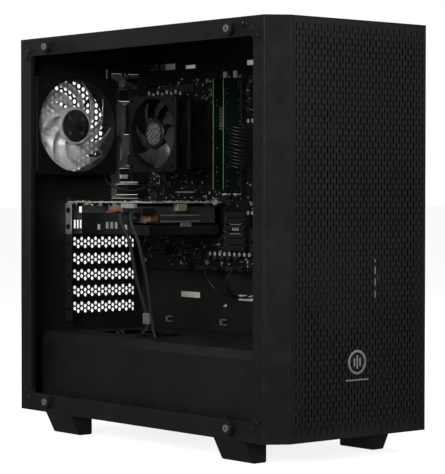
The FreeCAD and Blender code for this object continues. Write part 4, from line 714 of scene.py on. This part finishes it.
def make_board_small_parts():
    """Small soldered parts, chips, printed outlines, cans and a ring all over the board."""
    make = Maker("chip_black", "chip_tan", "solder_bright", "print_white", "can_top_blue")
    pick = random.Random(11)
    for _ in range(900):
        from_rear, from_top = pick.uniform(6, 238), pick.uniform(5, 238)
        kind = pick.choices(("chip_tan", "chip_black", "solder_bright", "print_white"), (4, 6, 5, 2))[0]
        long, short = pick.choice(((1.7, 0.9), (2.2, 1.3), (1.1, 0.6), (3.2, 1.7)))
        if pick.random() < 0.5:
            long, short = short, long
        stand_block(make, from_rear, from_top, long, short, pick.uniform(0.4, 1.2), kind)
    for _ in range(42):
        from_rear, from_top = pick.uniform(12, 232), pick.uniform(12, 232)
        wide = pick.choice((3.2, 4.2, 5.0, 7.0))
        stand_block(make, from_rear, from_top, wide, wide * pick.choice((1.0, 1.3)), 1.3, "chip_black", 0.15)
        for leg in range(5):
            step = (leg - 1.5) * wide / 4.5
            stand_block(make, from_rear + step, from_top, 0.5, wide * 1.5, 0.35, "solder_bright")
    for _ in range(60):
        from_rear, from_top = pick.uniform(10, 232), pick.uniform(10, 232)
        wide, tall = pick.uniform(5, 16), pick.uniform(4, 12)
        for shift in (-1, 1):
            stand_block(make, from_rear, from_top + shift * tall / 2, wide, 0.22, 0.08, "print_white")
            stand_block(make, from_rear + shift * wide / 2, from_top, 0.22, tall, 0.08, "print_white")
    for column in range(8):
        stand_can(make, 34 + 9.0 * column, 22 + 2.5 * (column % 2), 3.1, 8.5, "chip_black", "solder_bright")
    for column in range(5):
        stand_can(make, 44 + 8.0 * column, 36, 2.9, 7.5, "chip_black", "can_top_blue")
    for row in range(6):
        stand_can(make, 43, 48 + 10.5 * row, 3.0, 8.0, "chip_black", "solder_bright")
    for from_top in (42, 62, 172):
        stand_can(make, 226, from_top, 3.0, 8.0, "chip_black", "can_top_blue")
        stand_can(make, 234, from_top, 3.0, 8.0, "chip_black", "solder_bright")
    for column in range(9):
        top = ("can_top_blue", "solder_bright")[column % 2]
        stand_can(make, 156 + 9.2 * column, 222, 3.0, 9.0, "chip_black", top)
    ring = board_point(0.1, 158.5, 160)
    make.rod(ring, X, [(0, 5.4), (-3.0, 5.4), (-3.6, 4.4), (-3.0, 3.2), (-1.0, 3.0)], "solder_bright", 28)
    for column in range(16):
        stand_block(make, 78 + 2.4 * column, 147, 1.5, 1.9, 0.1, "print_white")
    make.done("board_small_parts", "chassis", smooth=False)


# Slim white marks beside the rear ports, painted highlights for glints on their metal sides: across, lowest and
# highest. Seams on them: from, to and height.
PORT_GLINTS_PAINTED = ((8.5, 433, 445), (19, 370, 384), (31, 332, 346), (16, 309, 319))
PORT_SEAMS = ((22, 36, 432), (22, 34, 420), (25, 38, 311), (40, 60, 352), (42, 60, 300))


def make_rear_port_details():
    """Bright shells and seams on the backs of the rear ports, and slim white marks beside them that are painted
    highlights for glints on the ports' metal sides.
    """
    make = Maker("port_metal", "print_white", "chip_tan")
    y = low("io_ports", Y)
    for x, z0, z1 in PORT_GLINTS_PAINTED:
        # Painted highlight: a matte white strip where a glint would be.
        make.box((x - 1.2, y + 8, z0), (x + 1.2, y + 9, z1), "print_white", 0.1)
    for x0, x1, z in PORT_SEAMS:
        make.box((x0, y + 2, z), (x1, y + 2.6, z + 1.1), "port_metal", 0.1)
    make.box((23, y + 1, 423), (31, y + 2, 431), "chip_tan", 0.2)
    make.box((24, y + 1, 308), (36, y + 2, 313), "print_white", 0.2)
    make.done("rear_port_details", "chassis", smooth=False)


def make_chipset_marks():
    """Plain light lines on the chipset's heatsink."""
    make = Maker("mark_silver")
    node = "chipset_heatsink"
    x, y, z = low(node, X), middle(node, Y) - 3, middle(node, Z) + 3
    for up in (-5.5, 5.5):
        make.box((x - 0.1, y - 9, z + up - 0.35), (x + 0.2, y + 9, z + up + 0.35), "mark_silver")
        outer = z + up * 1.22
        for side in (-1, 1):
            end = y + side * 9.8
            make.box((x - 0.1, end - 0.8, outer - 0.35), (x + 0.2, end + 0.8, outer + 0.35), "mark_silver")
    for bar in range(3):
        make.box((x - 0.1, y - 6 + 4.4 * bar, z - 1.8), (x + 0.2, y - 3.2 + 4.4 * bar, z + 1.8), "mark_silver")
    make.done("chipset_marks", "chassis", smooth=False)


# ---------------- graphics card

def make_card_details():
    """What shows at the card's edge and front end: fins, bars, blocks, plain marks and light slits, the one on
    the bracket a cream strip painted where light shows through a vent.
    """
    make = Maker("aluminium", "copper", "mark_silver", "ceramic_tan", "connector_grey", "print_white",
                 "solder_bright", "chip_black", "cream_edge_and_painted_slit_light")
    edge = low("gpu_board", X)
    plane = low("gpu_board", Z)
    front = low("gpu_board", Y)
    for fin in range(10):
        y = front + 37 + 2.6 * fin
        make.box((edge + 1.0, y, plane - 19), (edge + 6.4, y + 1.1, plane - 0.6), "solder_bright")
    make.box((edge + 1.0, front + 66, plane - 10.5), (edge + 5.5, front + 87, plane - 2.0),
             "connector_grey", 0.4)
    make.box((edge, front - 0.15, plane), (edge + 106, front + 0.1, plane + 1.6), "cream_edge_and_painted_slit_light")
    # Painted light: a thin cream strip on the bracket where light shows through a vent slit.
    make.box((low("gpu_bracket", X) - 0.2, high("gpu_bracket", Y) - 13, plane - 34),
             (low("gpu_bracket", X) + 0.1, high("gpu_bracket", Y) - 11.4, plane + 1), "cream_edge_and_painted_slit_light")
    for up in (-15.5, -22.5):
        corner = (edge + 74, front + 3.2, plane + up + 1.5)
        make.box((edge + 16, front + 2.0, plane + up), corner, "aluminium", 0.2)
    make.box((edge + 45, front + 1.6, plane - 28.5), (edge + 61, front + 3.0, plane - 23.4),
             "connector_grey", 0.3)
    make.box((edge + 40, front + 1.2, plane - 9.5), (edge + 54, front + 12, plane - 0.4), "ceramic_tan", 0.5)
    make.box((edge + 1.5, front + 6, plane - 22), (edge + 14, front + 12, plane - 13), "copper", 0.6)
    make.box((edge + 2.5, front + 13, plane - 23), (edge + 10, front + 26, plane - 14), "copper", 0.6)
    make.box((edge + 2.2, front + 16, plane - 24), (edge + 9, front + 20, plane - 11), "aluminium", 0.3)
    pick = random.Random(3)
    for _ in range(70):
        y = pick.uniform(front + 4, front + 170)
        x = edge + pick.uniform(1, 12)
        corner = (x + pick.uniform(0.8, 3), y + pick.uniform(0.8, 3), plane + pick.uniform(2.0, 3.2))
        kind = pick.choice(("solder_bright", "chip_black", "ceramic_tan", "solder_bright"))
        make.box((x, y, plane + 1.6), corner, kind)
    for _ in range(60):
        x = edge + pick.uniform(1, 100)
        corner = (x + pick.uniform(1, 4), front + 2.5, plane + pick.uniform(2.0, 3.6))
        kind = pick.choice(("solder_bright", "cream_edge_and_painted_slit_light", "chip_black"))
        make.box((x, front + 0.4, plane + 1.6), corner, kind)
    for _ in range(40):
        y = pick.uniform(front + 60, front + 160)
        start = (edge + 0.6, y, plane - pick.uniform(1.5, 5))
        end = (edge + 3.5, y + pick.uniform(1, 5), plane - 0.1)
        kind = pick.choice(("solder_bright", "chip_black", "ceramic_tan", "chip_black", "chip_black"))
        make.box(start, end, kind)
    face = low("gpu_shroud", X)
    shroud = low("gpu_shroud", Z)
    for lean in (-9.0, 0.0, 9.0):
        y = front + 76 + lean
        make.box((face - 0.25, y - 2.6, shroud + 7.0), (face + 0.1, y + 2.6, shroud + 15.0),
                 "mark_silver", 0.05)
    for y in (front + 102, front + 48):
        make.box((face - 0.25, y - 2.6, shroud + 5.5), (face + 0.1, y + 2.6, shroud + 12.0), "print_white", 0.1)
    make.done("card_details", "chassis", smooth=False)


# ---------------- small fittings

def make_tie_hooks():
    """Cable tie loops pressed out of the tray, and a screw under the board."""
    make = Maker("steel_light", "screw_steel")
    face = low("motherboard_tray", X)
    for y, z in ((173, 130.5), (66, 131.5)):
        for up in (-3.0, 3.0):
            make.box((face - 2.2, y - 6.5, z + up - 0.8), (face, y + 5, z + up + 0.8), "steel_light", 0.3)
        make.box((face - 2.2, y + 3.5, z - 3.8), (face, y + 6.5, z + 3.8), "steel_light", 0.3)
    head = [(0, 2.4), (-1.2, 2.4), (-1.8, 1.6), (-1.2, 0.9), (-1.2, 0.1)]
    make.rod((face, 63, 151.7), X, head, "screw_steel", 20)
    make.done("tie_hooks", "chassis")


# ---------------- leads

def evaluated_path(route):
    """Points along the smooth curve that a route makes, in metres."""
    curve = nurbs("path_tmp", route, 0.0)
    data = bpy.data.meshes.new_from_object(curve.evaluated_get(bpy.context.evaluated_depsgraph_get()))
    points = [v.co.copy() for v in data.vertices]
    bpy.data.objects.remove(curve)
    bpy.data.meshes.remove(data)
    return points


def nurbs(name, route, radius):
    """A round lead of that radius along one smooth curve."""
    data = round_curve(name, radius, 3)
    data.resolution_u = 8
    add_spline(data, route)
    return new_object(name, data)


def round_curve(name, radius, rings):
    """Curve data that is given a round body, with closed ends."""
    data = bpy.data.curves.new(name, "CURVE")
    data.dimensions = "3D"
    data.bevel_depth = radius * MM
    data.bevel_resolution = rings
    data.use_fill_caps = True
    return data


def add_spline(data, route):
    """Add one smooth curve that has the route's points as its control points."""
    spline = data.splines.new("NURBS")
    spline.points.add(len(route) - 1)
    for point, spot in zip(spline.points, route):
        point.co = (*place(*spot), 1.0)
    spline.order_u = 3
    spline.use_endpoint_u = True


def ribbon(name, routes, radius, offsets, material):
    """Leads side by side: one smooth curve for each offset from each route."""
    piece = nurbs(name, shifted(routes[0], offsets[0]), radius)
    for number, route in enumerate(routes):
        for offset in offsets[1 if number == 0 else 0:]:
            add_spline(piece.data, shifted(route, offset))
    piece.data.materials.append(MATERIALS[material])
    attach(piece, "chassis")
    return piece


def shifted(route, offset):
    return [tuple(p + o for p, o in zip(point, offset)) for point in route]


CARD_LEADS = [
    [(-64, 75, 267.5), (-75, 75, 267.5), (-80, 67, 255), (-76, 57, 238), (-70, 57, 216), (-60, 64, 191),
     (-49, 66, 165), (-40, 66, 141), (-30, 62, 119), (-22, 61, 101), (-16, 70, 80), (-16, 90.5, 80)],
    [(-64, 55, 267.5), (-75, 55, 267.5), (-80, 48, 255), (-75, 41, 237), (-69, 40, 215), (-60, 43, 190),
     (-50, 50, 165), (-42, 57, 141), (-37, 57, 119), (-32, 54, 101), (-29, 66, 80), (-29, 90.5, 80)],
]
MAIN_LEADS = [
    [(40, -9.3, level), (27, -9.3, level), (15, -14, level + 2), (11, -27, level - 2), (22, -38, level - 5),
     (46, -42, level - 7), (85.5 + 7 * row, -42, level - 7), (85.5 + 7 * row, -41, 270),
     (85.5 + 7 * row, -44, 215), (85.5 + 7 * row, -40, 160), (85.5 + 7 * row, -28, 118),
     (80 + 7 * row, -4, 92), (64 + 8 * row, 26, 80), (36 + 9 * row, 62, 75), (22 + 10 * row, 90.5, 75)]
    for row, level in enumerate((327, 339, 353, 365))
]
CPU_LEADS = [
    [(42, 191 + 9 * row, 430), (31, 191 + 9 * row, 430), (22, 193 + 8 * row, 439),
     (33, 198 + 7 * row, 450), (60, 202 + 7 * row, 451), (90, 203 + 6 * row, 450),
     (97, 196 + 7 * row, 411), (96, 174 + 8 * row, 352), (97, 144 + 9 * row, 291),
     (96, 112 + 9 * row, 231), (97, 80 + 9 * row, 172), (95, 56 + 8 * row, 126),
     (78, 50 + 2 * row, 98), (58 + 6 * row, 66, 86), (42 + 10 * row, 90.5, 86)]
    for row in (0, 1)
]
FAN_LEADS = [
    [(10, 100, 315.5), (10, 100, 304), (18, 99, 296), (35, 98, 292), (43, 97, 296.5), (52, 97, 296.5)],
    [(8, 216, 313), (8, 216, 303), (20, 206, 295), (34, 190, 292), (42, 182, 296.5), (52, 182, 296.5)],
]
SIGNAL_LEADS = [
    [(52, 60, 198.5), (43, 60, 198.5), (37, 52, 188), (42, 38, 172), (60, 31, 164), (88, 30, 163),
     (108, 22, 186), (112, 0, 240), (112, -58, 325), (110, -130, 390), (100, -192, 420), (84, -208, 430),
     (62, -207, 434), (44, -200, 439), (42, -198, 448), (42, -198, 457)],
    [(52, 12, 198.5), (44, 12, 198.5), (39, 15, 186), (45, 20, 171), (62, 22, 164), (88, 22, 162),
     (106, 14, 178), (112, -8, 224), (112, -70, 306), (110, -140, 378), (102, -196, 404), (88, -212, 416),
     (58, -212, 428), (25, -202, 437), (22, -198, 448), (22, -198, 457)],
    [(66, -28, 244.5), (66, -38, 244.5), (73, -46, 238), (90, -52, 226), (97, -56, 190), (98, -60, 140),
     (102, -78, 90), (109, -102, 60), (111, -113, 46), (110, -120, 37), (104, -121, 33.5), (95.25, -121, 33.5)],
    [(57.2, 90.5, 71), (60, 78, 64), (76, 58, 56), (97, 22, 52), (106, -26, 48), (108, -66, 42),
     (108, -92, 36), (104, -103, 33.5), (95.25, -103, 33.5)],
    [(52, -8, 395.5), (43, -8, 395.5), (38, -20, 391), (48, -34, 383), (68, -42, 375), (92, -50, 371),
     (101, -88, 358), (101, -140, 336), (97, -192, 316), (88, -208, 303), (76, -209, 301), (63.75, -209, 301)],
]


def wound(points, share, spread, pitch):
    """One wire's points round a path, three to a step of it. share is how far round the wire starts."""
    spots = []
    travelled = 0.0
    for before, after in zip(points, points[1:]):
        step = after - before
        level = abs(step.normalized().z) < 0.9
        side = step.cross(Vector((0, 0, 1)) if level else Vector((0, 1, 0))).normalized()
        over = step.cross(side).normalized()
        for third in range(3):
            turn = 2 * math.pi * ((travelled + step.length * third / 3) / (pitch * MM) + share)
            swing = (side * math.cos(turn) + over * math.sin(turn)) * spread * MM
            spots.append(before + step * third / 3 + swing)
        travelled += step.length
    return [*spots, points[-1]]


def twisted(name, routes, strands, radius, spread, pitch):
    """Thin wires wound round each other along each route."""
    data = round_curve(name, radius, 2)
    for route in routes:
        points = evaluated_path(route)
        for strand in range(strands):
            spots = wound(points, strand / strands, spread, pitch)
            spline = data.splines.new("POLY")
            spline.points.add(len(spots) - 1)
            for point, spot in zip(spline.points, spots):
                point.co = (*spot, 1.0)
    piece = new_object(name, data)
    data.materials.append(MATERIALS["wire_black"])
    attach(piece, "chassis")
    return piece


def make_leads():
    """The held leads, each in place of its plain solid: flat sleeved, stacked, paired, single and twisted."""
    flat = [(0.9 * step, 2.4 * step, 0.0) for step in (-1, 0, 1)]
    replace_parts(ribbon("card_leads", CARD_LEADS, 1.5, flat, "sleeve_black"), "gpu_power_cables")
    stacked = [(1.2 * step, 0.0, 3.9 * step) for step in (-1, 0, 1)]
    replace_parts(ribbon("main_leads", MAIN_LEADS, 1.15, stacked, "wire_black"), "main_power_cable")
    paired = [(0.0, 1.25 * step, 1.0 * step) for step in (-1, 1)]
    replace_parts(ribbon("processor_leads", CPU_LEADS, 1.2, paired, "wire_black"), "cpu_power_cable")
    signal = ribbon("signal_leads", SIGNAL_LEADS, 1.2, [(0.0, 0.0, 0.0)], "wire_black")
    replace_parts(signal, "thin_leads")
    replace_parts(twisted("fan_leads", FAN_LEADS, 3, 0.6, 0.75, 9.0), "thin_leads")


LOOSE_WIRES = [
    [(-43, 60, 136), (-46, 58, 131), (-50, 60, 126), (-49, 68, 118), (-42, 74, 110), (-34, 78, 104)],
    [(-40, 64, 136), (-42, 66, 130), (-46, 72, 125), (-43, 78, 117), (-36, 80, 110), (-28, 80, 104)],
    [(-38, 68, 136), (-36, 72, 130), (-38, 78, 124), (-33, 80, 116), (-27, 79, 108), (-20, 78, 102)],
    [(-41, 58, 136), (-38, 55, 129), (-32, 58, 123), (-24, 64, 116), (-14, 68, 110), (-6, 70, 104)],
    [(-30, 110, 112), (-28, 124, 118), (-24, 140, 121), (-14, 152, 119), (-4, 160, 113), (4, 164, 106)],
    [(-34, 114, 112), (-33, 130, 117), (-26, 148, 121), (-12, 160, 117), (-2, 166, 110), (6, 168, 104)],
]


def make_lead_fittings():
    """Grey plug on a card lead, the thin wires below it, and wires lying in the shroud's cut-outs."""
    make = Maker("connector_grey")
    make.box((-46.0, 57.5, 134.5), (-38.5, 69.5, 147.5), "connector_grey", 0.7)
    for row in range(2):
        make.box((-46.6, 59.5 + 5 * row, 136.5), (-45.9, 63 + 5 * row, 145.5), "connector_grey", 0.25)
    make.done("card_lead_plug", "chassis", smooth=False)
    for number, route in enumerate(LOOSE_WIRES):
        ribbon(f"loose_wire_{number}", [route], 1.1, [(0.0, 0.0, 0.0)], "wire_black")


# ---------------- light, camera, stage

def area_light(name, spot, target, size, power):
    """A flat lamp at spot, turned to face target."""
    data = bpy.data.lights.new(name, "AREA")
    data.shape = "RECTANGLE"
    data.size, data.size_y = size
    data.energy = power
    lamp = new_object(name, data)
    lamp.location = spot
    lamp.rotation_mode = "QUATERNION"
    lamp.rotation_quaternion = (Vector(spot) - Vector(target)).to_track_quat("Z", "Y")
    return lamp


# Name, place, what it is aimed at, width and height, all in metres, and power in watts.
STUDIO_LAMPS = (
    ("key_left", (-2.2, -0.9, 1.0), (0, 0, 0.25), (1.0, 1.0), 26),
    ("front_soft", (0.8, -2.6, 1.0), (0, 0, 0.25), (1.2, 1.2), 9),
    ("top_soft", (-0.2, 0.1, 2.4), (0, 0, 0.3), (1.6, 1.6), 12),
    ("back_rim", (0.2, 2.4, 0.9), (0, 0.1, 0.3), (1.4, 1.0), 14),
)


def make_light():
    """White behind the model for the camera, a faint sky, the studio lamps and two small ones."""
    scene = bpy.context.scene
    scene.view_settings.view_transform = "Standard"
    world = bpy.data.worlds.new("studio")
    world.use_nodes = True
    scene.world = world
    tree = world.node_tree
    seen = tree.nodes["Background"]
    seen.inputs["Color"].default_value = (1, 1, 1, 1)
    seen.inputs["Strength"].default_value = 1.0
    soft = tree.nodes.new("ShaderNodeBackground")
    soft.inputs["Color"].default_value = (0.98, 0.99, 1.0, 1)
    soft.inputs["Strength"].default_value = 0.10
    path = tree.nodes.new("ShaderNodeLightPath")
    blend = tree.nodes.new("ShaderNodeMixShader")
    tree.links.new(path.outputs["Is Camera Ray"], blend.inputs["Fac"])
    tree.links.new(soft.outputs["Background"], blend.inputs[1])
    tree.links.new(seen.outputs["Background"], blend.inputs[2])
    tree.links.new(blend.outputs["Shader"], tree.nodes["World Output"].inputs["Surface"])
    for lamp in STUDIO_LAMPS:
        area_light(*lamp)
    cable_room = (high("motherboard_tray", X) + 6, 10.0, 290.0)
    panel = (cable_room[0] + 100, *cable_room[1:])
    area_light("behind_tray", place(*cable_room), place(*panel), (0.40, 0.36), 0.34)
    fan_spot = (middle("rear_fan_rotor", X), low("rear_fan_rotor", Y), middle("rear_fan_rotor", Z))
    glow = area_light("fan_glow", (-1.0, -0.75, 0.62), place(*fan_spot), (0.10, 0.10), 0.03)
    glow.data.spread = math.radians(16)


def make_stage():
    """A wide pale floor that glows evenly."""
    half = 30.0
    data = bpy.data.meshes.new("floor")
    corners = [(-half, -half, 0), (half, -half, 0), (half, half, 0), (-half, half, 0)]
    data.from_pydata(corners, [], [(0, 1, 2, 3)])
    floor = new_object("floor", data)
    floor.visible_diffuse = False
    floor.visible_glossy = False
    make = Nodes("floor_pale")
    make.colour(make.mix(make.noise(3.0), (0.86, 0.86, 0.86), (0.9, 0.9, 0.9)))
    make.set(Roughness=0.7, Emission_Color=(1, 1, 1, 1), Emission_Strength=0.86)
    data.materials.append(make.material)


SENSOR_WIDTH = 36.0
FOCAL_LENGTH = 147.5
CAMERA_SPOT = (-1.44995, -1.7550, 0.2896)
CAMERA_TURN = (90 - 1.29, -0.05, -39.94)


def make_camera():
    data = bpy.data.cameras.new("camera")
    data.sensor_width = SENSOR_WIDTH
    data.lens = FOCAL_LENGTH
    data.clip_end = 100.0
    camera = new_object("camera", data)
    camera.location = CAMERA_SPOT
    camera.rotation_euler = tuple(math.radians(turn) for turn in CAMERA_TURN)
    bpy.context.scene.camera = camera


make_camera()
make_light()
make_stage()
make_materials()
dress_nodes()
make_grille()
make_badge()
make_rear_fan()
make_cpu_fan()
make_memory()
make_board_small_parts()
make_rear_port_details()
make_chipset_marks()
make_card_details()
make_tie_hooks()
make_leads()
make_lead_fittings()
